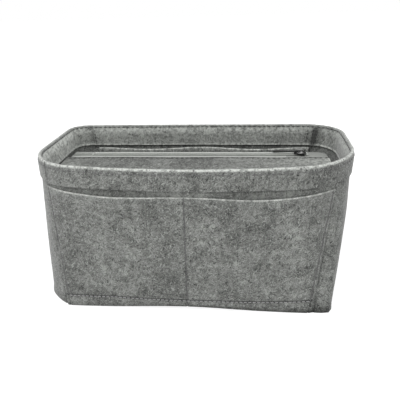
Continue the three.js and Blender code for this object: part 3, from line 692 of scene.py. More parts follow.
ROLL_WIDTH = 2.6 * MM
ROLL_START = 4 * MM

bend = np.linspace(0, np.pi / 2, 7)
far, close = FOLD_BEND * (1 - np.cos(bend)), FOLD_BEND * (1 - np.sin(bend))
section = np.concatenate([
    [(LEAF_OUT, COLLAR_EDGE), (LEAF_OUT, SWELL)],
    np.column_stack([TOP_OUT - far, FOLD_TOP - close]),
    np.column_stack([TOP_IN + close, FOLD_TOP - far]),
    [(LEAF_IN, SWELL), (LEAF_IN, FACING_EDGE)],
])
section_run = run_of(section)
COLLAR_STRIP = section_run[-1]
OUTER_CORNER, INNER_CORNER = section_run[5], section_run[12]
INNER_STITCH = COLLAR_STRIP - (RIM_HEIGHT - INNER_STITCH_DROP - FACING_EDGE)


def both_ends(along, values):
    """Each end's distances along a strip, with that end's value"""
    return zip((along, along[-1] - along), values)


def collar_section(side, along, strip):
    """Offset and height of the strip's middle, at distances from its outer edge"""
    offset, z = (np.interp(strip, section_run, section[:, axis]) for axis in (0, 1))
    outer, inner = (np.clip(1 - way / FLARE_REACH, 0, 1) ** 2 for way in (strip, COLLAR_STRIP - strip))
    wave = 0.75 + 0.25 * np.sin(along[:, None] * FLARE_WAVES + SWAY_PHASE[side])
    offset = offset + (OUTER_FLARE[side] * outer - INNER_FLARE[side] * inner) * wave
    inside = np.clip((strip - INNER_STITCH) / ROLL_START, 0, 1)
    for end, height in both_ends(along, SEAM_ROLL[side]):
        offset = offset - height * bell(end, ROLL_WIDTH)[:, None] * inside
    lower = np.interp(along, (0, along[-1]), LOW_FACING[side])[:, None]
    return offset, RIM_HEIGHT - (RIM_HEIGHT - z) * (1 + lower * (strip > INNER_CORNER))


print("collar strip", round(COLLAR_STRIP, 4), "m wide")

# %% [markdown]
# The crest of the fold and the cut edges get painted light: a pale band for the light caught on the fold and
# on its rubbed loose fibres, which are partly worn pale too. The facings get painted light, as from above,
# most of all at the left, and painted shade beside the corner seams and in the stitched grooves. These are
# values along the strip and along the side, stored for the felt's material.

# %% Fold the collar over the mouth
COLLAR_STEPS = (3.5 * MM, 1.6 * MM)
TOP_STITCH = 8.5 * MM
BESIDE_SEAMS = np.append(np.arange(1.5, 8) * MM, TOP_STITCH)
OUTER_PINCH = 0.4
COLLAR_DENT = 0.35 * SEAM_DEPTH
CREST_LIGHT = (0.95, 0.3)
CREST_WIDTH = (0.95 * MM, 1.0 * MM)
UNDER_CREST_LIGHT = (0.15, 2.4 * MM)
EDGE_LIGHT = each_side(0.6, 0.95, 0.6, 0.95)
EDGE_INSET = each_side(0.0, 1.1 * MM, 0.4 * MM, 1.1 * MM)
FACING_LIGHT = each_side((0.2, 0.1), (0.3, 0.05), (0.26, 0.1), (0.95, 0.55))
FACING_START = INNER_STITCH + 1.2 * MM
FACING_FADE = {"right": 28 * MM, "back": 18 * MM, "left": 60 * MM}
SEAM_SHADE = each_side((0, 0), (0, 0.7), (0.7, 0.12), (0.12, 0))
SEAM_SHADE_WIDTH = each_side(2.4 * MM, 4.6 * MM, 2.6 * MM, 2.4 * MM)
SEAM_SHADE_PLACE = 0.5 * MM
CORNER_SHADE = 0.75
CORNER_SHADE_WIDTH = 1.1 * MM
GROOVE_SHADE = 0.1
FOLD_WIDTH = 5 * MM
THIN_LEAF = {"left": 12 * MM, "right": 10 * MM}


# Painted light on the crest, the cut edges, the band under the inner stitches and the facings
def collar_light(side, along, strip):
    light = EDGE_LIGHT[side] * bell(strip - COLLAR_STRIP + EDGE_INSET[side], PALE_WIDTH)
    for strength, width, corner in zip(CREST_LIGHT, CREST_WIDTH, (OUTER_CORNER, INNER_CORNER)):
        light = light + strength * bell(strip - corner, width)
    light = light + UNDER_CREST_LIGHT[0] * bell(strip - INNER_STITCH - UNDER_CREST_LIGHT[1], UNDER_CREST_LIGHT[1])
    pale = np.interp(strip, (INNER_STITCH, FACING_START), (0, 1))
    pale = pale * np.interp(strip, (INNER_STITCH, COLLAR_STRIP), FACING_LIGHT[side])
    from_seam = along[-1] - along if side == "right" else along
    fade = np.clip(from_seam / FACING_FADE[side], 0, 1) if side in FACING_FADE else np.ones_like(along)
    return light + pale * fade[:, None]


# Painted shade beside the corner seams, at the front-left seam and in the stitch grooves
def collar_shade(side, along, strip, groove):
    seam = sum(strength * bell(end - SEAM_SHADE_PLACE, SEAM_SHADE_WIDTH[side])
               for end, strength in both_ends(along, SEAM_SHADE[side]))
    front_left = {"front": (0,), "left": (along[-1],)}.get(side, ())
    outer_seam = near(along, front_left, CORNER_SHADE_WIDTH)[:, None] * (strip < OUTER_CORNER)
    inside = np.interp(strip, (INNER_STITCH, FACING_START), (0, 1))
    return GROOVE_SHADE * groove + seam[:, None] * inside + CORNER_SHADE * outer_seam


collars = {}
for side in SIDES:
    length = mouth.length(side)
    along = spread(length, COLLAR_STEPS[0], (), np.concatenate([BESIDE_SEAMS, length - BESIDE_SEAMS]))
    strip = spread(COLLAR_STRIP, COLLAR_STEPS[1], (OUTER_STITCH, INNER_STITCH), section_run[1:-1])
    offset, z = collar_section(side, along, strip)
    grid = wall_place(side, seam_share(along), z, offset)
    groove = np.maximum(OUTER_PINCH * near(strip, (OUTER_STITCH,)), near(strip, (INNER_STITCH,)))
    folded = np.exp(-(((strip - (OUTER_CORNER + INNER_CORNER) / 2) / FOLD_WIDTH) ** 4))
    if side in THIN_LEAF:
        folded = np.maximum(folded, np.clip(1 - strip / THIN_LEAF[side], 0, 1))
    thickness = COLLAR_FELT + (TOP_FELT - COLLAR_FELT) * folded
    paint = (collar_light(side, along, strip), collar_shade(side, along, strip, groove))
    piece, collars[side] = felt_sheet(
        f"collar_{side}_felt", grid, thickness, from_edge(along, strip), COLLAR_DENT * groove, paint)
    stand_for(piece, f"collar_{side}", "shell")
    collars[side].update(along=along, strip=strip)

# %% [markdown]
# A slip pocket is one sheet sewn to the wall at its sides, its foot and its middle. Between those lines
# it is a little too wide, so its two mouths gape. The bulge grows with the square of the height: nothing
# at the foot and most at the mouth. The stitched row near the foot isn't level in the photograph, so the
# grid's rows follow its line, and the middle seam leans a little.

# %% Sew the front pocket
FRONT_POCKET_TOP = 111 * MM
FRONT_TOP_RISE = 1.8 * MM
FRONT_TOP_SLOPE = 0.45
FRONT_MOUTHS = (6.0 * MM, 7.4 * MM)
PAST_SEAM = 3.6 * MM
SIDE_PRESS = 5 * MM
SIDE_THINNING = 0.55
MIDDLE_SLANT = 0.0055
FOOT_ROW = 10 * MM
FOOT_ROW_PLACES = (0, 0.2, 0.34, 0.5, 0.68, 0.85, 1)
FOOT_ROW_HEIGHTS = np.array([10.2, 10.5, 9.1, 8.4, 8.8, 9.7, 11.3]) * MM
FOOT_ROW_LIFT = 0.3
FOOT_ROW_SHADE = 0.7
FOOT_ROW_LINE = FOOT_ROW + 0.7 * MM
POCKET_STEPS = (3.5 * MM, 4 * MM)
POCKET_EDGE_LIGHT = 0.6
POCKET_EDGE_WIDTH = 0.8 * MM
POCKET_STITCH_SHADE = 0.4
DARK_FOOT = (0.4, 0.6)


def mouth_bulge(u, mouths):
    """Two lobes, one for each half of the pocket"""
    return np.where(u < 0.5, *mouths) * np.sin(2 * np.pi * u) ** 2


length = mouth.length("front") + 2 * PAST_SEAM
marks = (PAST_SEAM, length / 2, length - PAST_SEAM)
along = spread(length, POCKET_STEPS[0], marks)
up = spread(FRONT_POCKET_TOP, POCKET_STEPS[1], (FOOT_ROW,))
past = ((along - PAST_SEAM) / mouth.length("front"))[:, None]
u = np.clip(past, 0, 1)
lift = foot_lift("front", u)
row_z = np.interp(u, FOOT_ROW_PLACES, FOOT_ROW_HEIGHTS) + lift * FOOT_ROW_LIFT
top_z = FRONT_POCKET_TOP + FRONT_TOP_RISE * (0.5 + np.clip(1 - u / FRONT_TOP_SLOPE, 0, 1))
low = lift + (row_z - lift) * up / FOOT_ROW
high = row_z + (top_z - row_z) * (up - FOOT_ROW) / (FRONT_POCKET_TOP - FOOT_ROW)
z = np.where(up < FOOT_ROW, low, high)
pressed = np.clip(1 - np.minimum(along, along[-1] - along) / SIDE_PRESS, 0, 1)[:, None] ** 2
thickness = POCKET_FELT * (1 - SIDE_THINNING * pressed)
bulge = mouth_bulge(u, FRONT_MOUTHS) * (z / FRONT_POCKET_TOP) ** 2
slant = MIDDLE_SLANT * (1 - 2 * z / FRONT_POCKET_TOP) * np.sin(np.pi * u)
grid = wall_place("front", past + slant, z, GAP + thickness / 2 + bulge)
groove = np.maximum(near(along, marks)[:, None], near(up, (FOOT_ROW,)))
# Painted shade in the stitched grooves, just above the foot row and along the foot, deeper to the right;
# painted light on the cut top edge
shade = POCKET_STITCH_SHADE * groove + FOOT_ROW_SHADE * bell(up - FOOT_ROW_LINE, POCKET_EDGE_WIDTH)
shade = shade + np.interp(u, DARK_FOOT, FOOT_DARK) * bell(up, FOOT_SHADE)
paint = (POCKET_EDGE_LIGHT * bell(up - up[-1], POCKET_EDGE_WIDTH), shade)
piece, front = felt_sheet(
    "front_pocket_felt", grid, thickness, from_edge(along, up), SEAM_DEPTH * groove, paint)
stand_for(piece, "front_pocket", "shell")
front.update(columns=[nearest(along, mark) for mark in marks], row=nearest(up, FOOT_ROW))

# %% [markdown]
# The inner pocket hangs on the back wall in the same way, facing in. Its rows run downwards, so that the
# sheet's outer skin is the one that looks into the tub.

# %% Sew the inner pocket
INNER_POCKET_TOP = 111.5 * MM
INNER_POCKET_FOOT = 18 * MM
INNER_POCKET_INSET = 4 * MM
INNER_POCKET_ROOM = 0.7 * MM
INNER_MOUTHS = (8 * MM, 7.6 * MM)
INNER_EDGE_LIGHT = 0.75

length = mouth.length("back") - 2 * INNER_POCKET_INSET
marks = (SIDE_STITCH, length / 2, length - SIDE_STITCH)
along = spread(length, POCKET_STEPS[0], marks)
up = spread(INNER_POCKET_TOP - INNER_POCKET_FOOT, POCKET_STEPS[1])[::-1]
u = ((along + INNER_POCKET_INSET) / mouth.length("back"))[:, None]
bulge = mouth_bulge((along / length)[:, None], INNER_MOUTHS) * (up / up[0]) ** 2
offset = -WALL_FELT - INNER_POCKET_ROOM - POCKET_FELT / 2 - bulge
grid = wall_place("back", u, INNER_POCKET_FOOT + up, offset)
groove = near(along, marks)[:, None]
# Painted light on the pocket's top edge
paint = (INNER_EDGE_LIGHT * bell(up - up[0], 1.5 * PALE_WIDTH), 0.0)
piece, inner = felt_sheet(
    "inner_pocket_felt", grid, POCKET_FELT, from_edge(along, up), SEAM_DEPTH * groove, paint)
stand_for(piece, "inner_back_pocket", "shell")
inner["columns"] = [nearest(along, mark) for mark in marks]

# %% [markdown]
# The lid is a felt panel just under the facing. Its front edge is sewn to the front wall, and it bends
# along a straight line a little behind that. When it lifts, its sides must pass inside the collar, so we
# ask how near the end walls come at every height of the swing, and keep the lid clear of the nearest.

# %% Find how far the lid may reach
LID_RIGHT, LID_REAR, LID_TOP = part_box("zip_lid")[1]
LID_DROP = RIM_HEIGHT - GAP - LID_TOP
HINGE_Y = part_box("zip_lid")[0].y - GAP / 2
LID_CLEAR = -WALL_FELT - GAP - COLLAR_FELT - 0.8 * MM
SWING_STEPS = 10
HALVINGS = 40


def end_wall_x(side, y, z, offset):
    """X of an end wall at a given Y, found by halving"""
    y = np.asarray(y, float)
    before = np.zeros_like(y) if side == "right" else np.ones_like(y)
    beyond = 1 - before
    for _ in range(HALVINGS):
        middle = (before + beyond) / 2
        short = wall_place(side, middle, z, offset)[..., 1] < y
        before = np.where(short, middle, before)
        beyond = np.where(short, beyond, middle)
    return wall_place(side, before, z, offset)[..., 0]


def lid_reach(side, y):
    """How far the lid reaches towards an end wall and can still swing up inside the collar"""
    behind = y - HINGE_Y
    rises = np.minimum(np.linspace(0, LID_DROP, SWING_STEPS + 1)[:, None], behind)
    swung = np.sqrt(behind ** 2 - rises ** 2)
    reach = end_wall_x(side, HINGE_Y + swung, LID_TOP + rises, LID_CLEAR)
    return reach.max(0) if side == "left" else reach.min(0)


reach = [lid_reach(side, np.array([LID_REAR]))[0] for side in ("left", "right")]
print("rear edge of the lid may reach from", round(reach[0], 4), "to", round(reach[1], 4), "m")

# %% [markdown]
# The imported model has the sewn hem and the lid as two bodies, but real felt is one sheet, so one grid
# covers both. The side edges are eased, so that they run smoothly from the narrow stretch near the hinge
# to the wide one behind it.

# %% Cut the lid
LID_FELT = 2.4 * MM
LID_MIDDLE = LID_TOP - LID_FELT / 2
LID_STEP = 4 * MM
LID_CORNER = 3 * MM
LID_EASE = 0.4
LID_STITCH = 3.4 * MM
LID_GROOVE = 1.5 * MM
LID_DENT = 0.35 * MM
LID_SLACK = 0.35 * MM
LID_WAVES = (60, 40)
LID_STITCH_SHADE = 0.6
LID_EDGE_LIGHT = 0.6
LID_SIDES = 0.49
LID_PAINTED_LIGHT_PLACES = (0, 0.2, 0.5, 1)
LID_PAINTED_LIGHT = (0.08, 0, 0, 0.3)
HEM_INSET = 0.004
HEM_ROWS = np.linspace(0.08, 1, 9)[:-1]


def lid_grid():
    """Columns from left to right; rows from the front wall to the bend, then to the rear edge"""
    depth = LID_REAR - HINGE_Y
    behind = spread(depth, LID_STEP, (depth - LID_STITCH,))[len(EDGE_STEPS) - 1:]
    y = HINGE_Y + behind
    ease = LID_EASE * np.clip(behind - LID_DROP, 0, None)
    left, right = lid_reach("left", y), np.minimum(lid_reach("right", y), LID_RIGHT)
    left = np.maximum(left, left[behind <= LID_DROP].max() - ease)
    right = np.minimum(right, right[behind <= LID_DROP].min() + ease)
    into = np.clip(y - (LID_REAR - LID_CORNER), 0, LID_CORNER)
    right = right - (LID_CORNER - np.sqrt(LID_CORNER ** 2 - into ** 2))
    width = spread(right[0] - left[0], LID_STEP)
    share = (width / width[-1])[:, None]
    x = left + share * (right - left)
    rear = np.stack(np.broadcast_arrays(x, y, LID_MIDDLE), -1)
    fore = wall_place("front", HEM_INSET + (1 - 2 * HEM_INSET) * share[:, 0], LID_MIDDLE, -WALL_FELT - GAP)
    steps = np.concatenate([EDGE_STEPS / (HINGE_Y - fore[:, 1].min()), HEM_ROWS])[:, None]
    grid = np.concatenate([fore[:, None] * (1 - steps) + rear[:, :1] * steps, rear], 1)
    rows = np.linalg.norm(np.diff(grid, axis=1), axis=2)
    from_front = np.concatenate([np.zeros((len(width), 1)), np.cumsum(rows, 1)], 1)
    from_rear = from_front[:, -1:] - from_front
    from_end = np.minimum(width, width[-1] - width)[:, None]
    return grid, np.minimum(np.minimum(from_front, from_rear), from_end), from_rear


grid, edge, from_rear = lid_grid()
x, behind = grid[..., 0], np.clip(grid[..., 1] - HINGE_Y, 0, None)
grid[..., 2] += LID_SLACK * np.sin(x * LID_WAVES[0]) * np.sin(behind * LID_WAVES[1])
# Painted light on the lid's side edges and across it, most at the right end; painted shade along the
# stitched groove
across = (x - x[:1]) / (x[-1:] - x[:1])
sides = bell(edge, PALE_WIDTH) * (np.abs(across - 0.5) > LID_SIDES)
groove = near(from_rear, (LID_STITCH,), LID_GROOVE)
paint = (LID_EDGE_LIGHT * sides + np.interp(across, LID_PAINTED_LIGHT_PLACES, LID_PAINTED_LIGHT), LID_STITCH_SHADE * groove)
piece, lid = felt_sheet("zip_lid_felt", grid, LID_FELT, edge, LID_DENT * groove, paint, material=lid_felt)
lid["row"] = nearest(from_rear[0], LID_STITCH)
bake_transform(piece)
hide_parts("zip_lid", "lid_hem")

# %% [markdown]
# Under the rear tape stands a divider. It can't be seen in the photograph, but without it the rear edge
# of the zip would hang free. It is a plain upright sheet with one rounded corner at the top right.

# %% Stand the divider
DIVIDER_FELT = 2.16 * MM
DIVIDER_LOW, DIVIDER_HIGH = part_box("divider_panel")
DIVIDER_STEP = 6 * MM
DIVIDER_CORNER = 15 * MM
DIVIDER_CLEAR = -WALL_FELT - 0.6 * MM
DIVIDER_SLACK = 0.3 * MM
DIVIDER_WAVES = (35, 28)

up = spread(DIVIDER_HIGH.z - DIVIDER_LOW.z, DIVIDER_STEP)
z = DIVIDER_LOW.z + up
faces_y = np.array([[DIVIDER_LOW.y], [DIVIDER_HIGH.y]]) + np.zeros_like(z)
left, right = (np.abs(end_wall_x(side, faces_y, z, DIVIDER_CLEAR)).min(0) for side in ("left", "right"))
into = np.clip(z - (DIVIDER_HIGH.z - DIVIDER_CORNER), 0, DIVIDER_CORNER)
right = right - (DIVIDER_CORNER - np.sqrt(DIVIDER_CORNER ** 2 - into ** 2))
width = spread(right[0] + left[0], DIVIDER_STEP)
x = seam_share(width) * (right + left) - left
y = faces_y[:, 0].mean() + DIVIDER_SLACK * np.sin(x * DIVIDER_WAVES[0]) * np.sin(z * DIVIDER_WAVES[1])
grid = np.stack(np.broadcast_arrays(x, y, z), -1)
piece, _ = felt_sheet("divider_felt", grid, DIVIDER_FELT, from_edge(width, up))
stand_for(piece, "divider_panel", "shell")

# %% [markdown]
# Sewing thread is round, and each stitch dives into the felt at both ends. Drawing the dashes into the
# material would be quicker, but real stitches keep their shape from the side. One function lays a row of
# short bent tubes along any line of a sheet's skin, with the thread's ends sunk below it.

# %% Spin the thread
STITCH_PITCH = 5.2 * MM
STITCH_LENGTH = 3.2 * MM
THREAD_RADIUS = 0.42 * MM
THREAD_PROUD = 0.7 * THREAD_RADIUS
THREAD_SINK = 0.6 * MM
THREAD_TAPER = 0.35
THREAD_RINGS = 7
THREAD_SIDES = 6


def thread_material(name, darkest, palest):
    made = Finish(name)
    ply = made.noise(2600.0, 2.0)
    return made.done(Base_Color=made.shade(ply, darkest, palest), Normal=made.bump(ply, 0.5, 0.2 * MM),
                     Roughness=0.75, Sheen_Weight=0.2)


def round_tubes(name, middle, ahead, out, radius, sides, material):
    """Closed tubes round rows of middle points. The rings stand square to the way ahead, faces outwards"""
    angles = np.arange(sides)[:, None] * 2 * np.pi / sides
    rings = out[:, :, None] * np.cos(angles) + np.cross(out, ahead)[:, :, None] * np.sin(angles)
    points = middle[:, :, None] + rings * radius[:, None, None]
    index = np.arange(points.size // 3).reshape(points.shape[:3])
    caps = [*index[:, 0].tolist(), *index[:, -1, ::-1].tolist()]
    return make_object(name, points.reshape(-1, 3), ring_quads(index) + caps, material)


# The dark thread stands partly for painted shade, in the holes where the stitches sink into the felt
dark_thread = thread_material("dark_thread", 22, 52)
grey_thread = thread_material("grey_thread", 84, 124)
pale_thread = thread_material("pale_thread", 140, 186)


def stitch_row(name, sheet, line, thread=dark_thread, body="shell", pitch=STITCH_PITCH):
    """A row of stitches along a line of a sheet's skin. Returns how many"""
    path, normal = sheet["skin"][line], sheet["normal"][line]
    run = run_of(path)
    count = max(1, int(run[-1] // pitch))
    t = np.linspace(-1, 1, THREAD_RINGS)
    at = ((np.arange(count) + 0.5) * run[-1] / count)[:, None] + t * STITCH_LENGTH / 2

    def along(values):
        return np.stack([np.interp(at, run, values[:, axis]) for axis in range(3)], -1)

    ahead = unit(np.gradient(along(path), axis=1))
    out = along(normal)
    out = unit(out - (out * ahead).sum(2, keepdims=True) * ahead)
    middle = along(path) + out * (THREAD_PROUD - THREAD_SINK * t ** 4)[:, None]
    radius = THREAD_RADIUS * (1 - THREAD_TAPER * t ** 6)
    made = round_tubes(name, middle, ahead, out, radius, THREAD_SIDES, thread)
    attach(made, body)
    return count


print("stitches", STITCH_LENGTH / MM, "mm long, every", STITCH_PITCH / MM, "mm")

# %% [markdown]
# Now the rows go where the photograph shows them: under the fold of the rim inside and out, down the
# sides and the middle of the front pocket, along its foot, and beside the seams of the gussets. The
# hidden sides get the rows that such a tub needs.

# %% Lay the rows of stitches
CLOSE_PITCH = 3.3 * MM
FOOT_PITCH = 4 * MM
ROW_CLEAR = 2 * MM
ROW_TRIM = 3
FACING_ROWS = (("back", TOP_STITCH), ("back", -1.5 * MM), ("back", 1.5 * MM), ("right", -2.5 * MM))
trimmed = slice(ROW_TRIM, -ROW_TRIM)

stitches = 0
for side, collar in collars.items():
    for leaf, mark, thread in (("outer", OUTER_STITCH, grey_thread), ("inner", INNER_STITCH, dark_thread)):
        line = (trimmed, nearest(collar["strip"], mark))
        stitches += stitch_row(f"rim_stitches_{side}_{leaf}", collar, line, thread)
for name, column in zip(("left", "middle", "right"), front["columns"]):
    start = ROW_TRIM if name == "middle" else front["row"]
    line = (column, slice(start, -ROW_TRIM))
    stitches += stitch_row(f"pocket_stitches_{name}", front, line, grey_thread, pitch=CLOSE_PITCH)
line = (slice(front["columns"][0], front["columns"][-1] + 1), front["row"])
stitches += stitch_row("pocket_stitches_foot", front, line, pale_thread, pitch=FOOT_PITCH)
for name, column in zip(("right", "middle", "left"), inner["columns"]):
    stitches += stitch_row(f"inner_pocket_stitches_{name}", inner, (column, trimmed))
for k, (side, place) in enumerate(FACING_ROWS):
    along, strip = collars[side]["along"], collars[side]["strip"]
    inside = (strip > INNER_STITCH + ROW_CLEAR) & (strip < COLLAR_STRIP - ROW_CLEAR)
    line = (nearest(along, place % along[-1]), inside)
    stitches += stitch_row(f"facing_stitches_{k}", collars[side], line, pitch=CLOSE_PITCH)
line = (trimmed, nearest(walls["back"]["up"], FOOT_STITCH))
stitches += stitch_row("foot_stitches_back", walls["back"], line)
for side, ends in (("left", (0, 1)), ("right", (1,))):
    wall = walls[side]
    under_collar = np.flatnonzero(wall["up"] < COLLAR_EDGE - ROW_CLEAR)[ROW_TRIM:]
    for k in ends:
        line = (nearest(wall["along"], wall["marks"][k]), under_collar)
        stitches += stitch_row(f"gusset_stitches_{side}_{k}", wall, line, grey_thread)
stitches += stitch_row("lid_stitches", lid, (trimmed, lid["row"]), body="lid")
print(stitches, "stitches")

# %% [markdown]
# The zip has two woven tapes, a coil of nylon along each facing edge, stops, and tape ends that are sewn
# in. The tapes are thin sheets, made as the felt is, with a twill of crossed waves in their material. The
# tapes and the ends are one cloth in three copies whose greys are painted light and shade: palest on the
# rear tape, darker on the front tape and the left end, and darkest on the right end.

# %% Weave the tapes
TWILL_ANGLES = (0.9, -0.9)
TAPE_STEPS = (5 * MM, 2 * MM)


def tape_material(name, darkest, palest):
    made = Finish(name)
    waves = []
    for angle in TWILL_ANGLES:
        turned = made.node("Mapping", Vector=made.place, Rotation=(0.0, 0.0, angle)).outputs[0]
        wave = made.node("TexWave", Vector=turned, Scale=260.0, Distortion=0.6, Detail=1.0)
        waves.append(wave.outputs["Fac"])
    weave = made.math("MULTIPLY_ADD", made.noise(500.0, 3.0), 0.8, made.math("MAXIMUM", *waves))
    return made.done(Base_Color=made.shade(weave, darkest, palest, FELT_TINT, 0.3),
                     Normal=made.bump(weave, 0.5, 0.3 * MM), Roughness=0.85, Sheen_Weight=0.15)


# Copies of one tape: the rear one paler as painted light
tape_painted_lit = tape_material("tape_painted_lit", 182, 228)
tape_painted_mid = tape_material("tape_painted_mid", 150, 198)
for node, body, cloth, sewn_to in (
    ("zip_tape_front", "lid", tape_painted_mid, "zip_lid"),
    ("zip_tape_rear", "shell", tape_painted_lit, "divider_panel"),
):
    low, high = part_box(node)
    x, y = spread(high.x - low.x, TAPE_STEPS[0]), spread(high.y - low.y, TAPE_STEPS[1])
    grid = np.stack(np.broadcast_arrays(low.x + x[:, None], low.y + y, (low.z + high.z) / 2), -1)
    piece, _ = felt_sheet(f"{node}_woven", grid, high.z - low.z, from_edge(x, y), material=cloth)
    stand_for(piece, node, body)

# %% [markdown]
# Each coil is a real flattened spring, half a step from the one it faces. Its loops stop just short of
# the middle, where the slider's post passes. The function that made the thread's tubes winds the wire
# too.

# %% Wind the coils
ZIP_Y = (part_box("zip_tape_front")[1].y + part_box("zip_tape_rear")[0].y) / 2
COIL_PITCH = 1.3 * MM
COIL_WIRE = 0.34 * MM
COIL_SIDES = 5
COIL_STEPS = 10
COIL_REACH = 3.1 * MM
COIL_NEAR = 0.85 * MM
COILS = (
    ("zip_coil_front", "lid", -1),
    ("zip_coil_stub_left", "shell", -1),
    ("zip_coil_stub_right", "shell", -1),
    ("zip_coil_tail_front", "shell", -1),
    ("zip_coil_tail_rear", "shell", 1),
    ("zip_coil_rear", "shell", 1),
)


def coil_material():
    made = Finish("nylon_coil")
    wear = made.noise(300.0, 2.0)
    return made.done(Base_Color=made.shade(wear, 168, 212, FELT_TINT),
                     Roughness=made.ranged(wear, 0.35, 0.6))


def zip_coil(node, body, half):
    """A spring in the place of a node, on the front or the rear half of the zip. Returns its turns"""
    low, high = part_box(node)
    length = high.x - low.x - 2 * COIL_WIRE
    turns = round(length / COIL_PITCH)
    x = low.x + COIL_WIRE + np.linspace(0, 1, turns * COIL_STEPS + 1) * length
    angle = 2 * np.pi * x / COIL_PITCH + (np.pi if half > 0 else 0.0)
    y = ZIP_Y + half * ((COIL_REACH + COIL_NEAR) / 2 - (COIL_REACH - COIL_NEAR) / 2 * np.cos(angle))
    z = (low.z + high.z) / 2 + ((high.z - low.z) / 2 - COIL_WIRE) * np.sin(angle)
    path = np.column_stack([x, y, z])[None]
    ahead = unit(np.gradient(path, axis=1))
    out = unit(np.cross(ahead, (0, 0, 1.0)))
    wire = np.full(len(x), COIL_WIRE)
    made = round_tubes(f"{node}_wound", path, ahead, out, wire, COIL_SIDES, nylon)
    stand_for(made, node, body)
    return turns


nylon = coil_material()
print(sum(zip_coil(*coil) for coil in COILS), "coil loops")

# %% [markdown]
# The slider and its pull are cast metal with a dark plating. Painted light pales the plating on faces that
# point up, and on the slider only in an oval round its middle, a painted highlight that is almost white. The
# same value that pales the colour makes the surface less metallic.

# %% Plate the metal
OVAL = (1 / (4.0 * MM), 1 / (4.2 * MM), 0.0)


def metal_material(name, side_level, painted_top_level, middle=None):
    """Dark plating with painted light on the faces that point up, or only in an oval round a middle, where
    it is a painted highlight
    """
    made = Finish(name)
    wear = made.noise(420.0, 4.0)
    upward = made.node("SeparateXYZ", Vector=made.coords["Normal"]).outputs["Z"]
    patchy = made.ranged(wear, 0.75, 1.0, 0.3, 0.7)
    share = made.math("MULTIPLY", made.ranged(upward, 0.0, 1.0, 0.3, 0.95), patchy)
    if middle:
        flat = made.vector("MULTIPLY", made.vector("SUBTRACT", made.place, middle)[0], OVAL)[0]
        far = made.vector("LENGTH", flat)["Value"]
        share = made.math("MULTIPLY", share, made.ranged(far, 0.0, 1.0, 1.0, 0.75))
    return made.done(Base_Color=made.shade(share, side_level, painted_top_level),
                     Normal=made.bump(wear, 0.15, 0.2 * MM), Roughness=made.ranged(wear, 0.22, 0.42),
                     Metallic=made.ranged(share, 0.9, 0.2))


# The slider's plating gets a near-white painted highlight in an oval round its middle
plating_with_painted_highlight = metal_material("plating_with_painted_highlight", 58, 250, sum(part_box("slider_body"), Vector()) / 2)
dark_plating = metal_material("dark_plating", 34, 44)
print("plating with", len(plating_with_painted_highlight.node_tree.nodes), "and", len(dark_plating.node_tree.nodes), "nodes")

# %% [markdown]
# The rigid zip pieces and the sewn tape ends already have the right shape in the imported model, but
# nothing cast, moulded or woven has sharp edges. A copy of each mesh is cleaned of its inner triangle
# edges and gets a small round on every sharp edge.

# %% Round the rigid zip pieces
FLAT_ANGLE = math.radians(2)
SHARP_ANGLE = math.radians(28)
SMOOTH_ANGLE = math.radians(40)
SAME_POINT = 1e-6


def rounded_copy(node, name, width, segments, material, body):
    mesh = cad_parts[node].data.copy()
    mesh.materials.clear()
    mesh.materials.append(material)
    shape = bmesh.new()
    shape.from_mesh(mesh)
    bmesh.ops.remove_doubles(shape, verts=shape.verts, dist=SAME_POINT)
    bmesh.ops.dissolve_limit(shape, angle_limit=FLAT_ANGLE, verts=shape.verts, edges=shape.edges)
    sharp = [e for e in shape.edges if len(e.link_faces) == 2 and e.calc_face_angle() > SHARP_ANGLE]
    bmesh.ops.bevel(shape, geom=sharp, offset=width, offset_type="OFFSET", segments=segments, profile=0.5,
                    affect="EDGES", clamp_overlap=True)
    shape.to_mesh(mesh)
    shape.free()
    mesh.polygons.foreach_set("use_smooth", [True] * len(mesh.polygons))
    mesh.set_sharp_from_angle(angle=SMOOTH_ANGLE)
    made = bpy.data.objects.new(name, mesh)
    scene.collection.objects.link(made)
    stand_for(made, node, body)
    print(name, len(mesh.polygons), "faces")
    return made


# A third copy of the tape, darker as painted shade, for the right end in its corner
tape_painted_dark = tape_material("tape_painted_dark", 126, 168)
rounded_copy("slider_body", "slider_cast", 0.26 * MM, 3, plating_with_painted_highlight, "slider")
rounded_copy("pull_tab", "pull_tab_cast", 0.22 * MM, 3, dark_plating, "pull")
for stop in ("top_stop_front", "top_stop_rear", "bottom_stop"):
    rounded_copy(stop, f"{stop}_moulded", 0.3 * MM, 2, nylon, "shell")
for end, cloth in (("zip_end_left", tape_painted_mid), ("zip_end_right", tape_painted_dark)):
    piece = rounded_copy(end, f"{end}_woven", 0.2 * MM, 2, cloth, "shell")
    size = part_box(end)[1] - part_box(end)[0]

# %% [markdown]
# The stage is a white sweep, as in a shop photograph. To the camera the floor is close to white by
# itself, so the lamps can stay at a plain level and the felt keeps its written colour. For light that
# bounces it is a plain pale floor, and it still takes a faint shadow where the tub stands.

# %% Lay the floor
FLOOR_SIZE = 6.0
FLOOR_DROP = 0.4 * MM
FLOOR_GLOW = 0.88
FLOOR_GLOW_REACH = (0.25, 0.6)
FLOOR_SHOWN = 0.34
FLOOR_BOUNCE = 0.8


def seen_directly(tree):
    """1 where the camera, a mirror or glass looks, and 0 for light that only bounces"""
    path = node_of(tree, "LightPath").outputs
    seen = path["Is Camera Ray"]
    for other in ("Is Glossy Ray", "Is Transmission Ray"):
        seen = node_of(tree, "Math", {"operation": "MAXIMUM"}, _0=seen, _1=path[other]).outputs[0]
    return seen


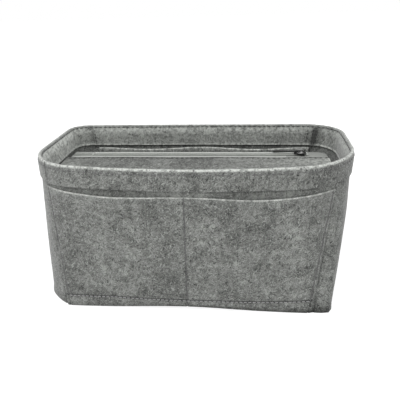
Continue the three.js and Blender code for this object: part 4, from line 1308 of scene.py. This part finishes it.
def floor_material():
    made = Finish("white_sweep")
    made.tree.nodes.remove(made.tree.nodes["Principled BSDF"])
    bounced, shown = (
        made.node("BsdfDiffuse", Color=(level, level, level, 1)).outputs[0]
        for level in (FLOOR_BOUNCE, FLOOR_SHOWN)
    )
    away = made.vector("LENGTH", made.place)["Value"]
    strength = made.ranged(away, FLOOR_GLOW, 1.0, *FLOOR_GLOW_REACH)
    glow = made.node("Emission", Color=(1, 1, 1, 1), Strength=strength).outputs[0]
    lit = made.node("AddShader", _0=shown, _1=glow).outputs[0]
    mix = made.node("MixShader", _0=seen_directly(made.tree), _1=bounced, _2=lit).outputs[0]
    made.tree.links.new(mix, made.tree.nodes["Material Output"].inputs["Surface"])
    return made.material


corners = [(x * FLOOR_SIZE, y * FLOOR_SIZE, 0) for x, y in CORNER_SIDES]
floor = make_object("floor", corners, [(0, 1, 2, 3)], floor_material(), smooth=False)
floor.location.z = -FLOOR_DROP
print("floor", 2 * FLOOR_SIZE, "m wide")

# %% [markdown]
# Soft light comes from above, from the front and from behind, and a plain white world fills the shadows.
# The world looks white to the camera too, but lights the object at less than half of that.

# %% Light the stage
AMBIENT = 0.42
LIT_POINT = Vector((0, 0, 0.07))
SOFTBOXES = (
    ("key", (-0.25, -0.5, 1.15), 7.0, 1.0),
    ("fill", (0.35, -1.2, 0.45), 3.0, 0.9),
    ("back", (0.1, 0.9, 0.9), 3.0, 0.8),
)

world = bpy.data.worlds.new("studio")
world.use_nodes = True
scene.world = world
tree = world.node_tree
strength = node_of(tree, "MapRange", Value=seen_directly(tree), To_Min=AMBIENT, To_Max=1.0).outputs[0]
set_sockets(tree, tree.nodes["Background"], {"Color": (1, 1, 1, 1), "Strength": strength})
for name, place, power, size in SOFTBOXES:
    data = bpy.data.lights.new(name, "AREA")
    data.energy = power
    data.size = size
    lamp = bpy.data.objects.new(name, data)
    lamp.location = place
    lamp.rotation_mode = "QUATERNION"
    lamp.rotation_quaternion = (Vector(place) - LIT_POINT).to_track_quat("Z", "Y")
    scene.collection.objects.link(lamp)
scene.view_settings.view_transform = "Standard"
print("stage lit by", len(SOFTBOXES), "soft boxes")
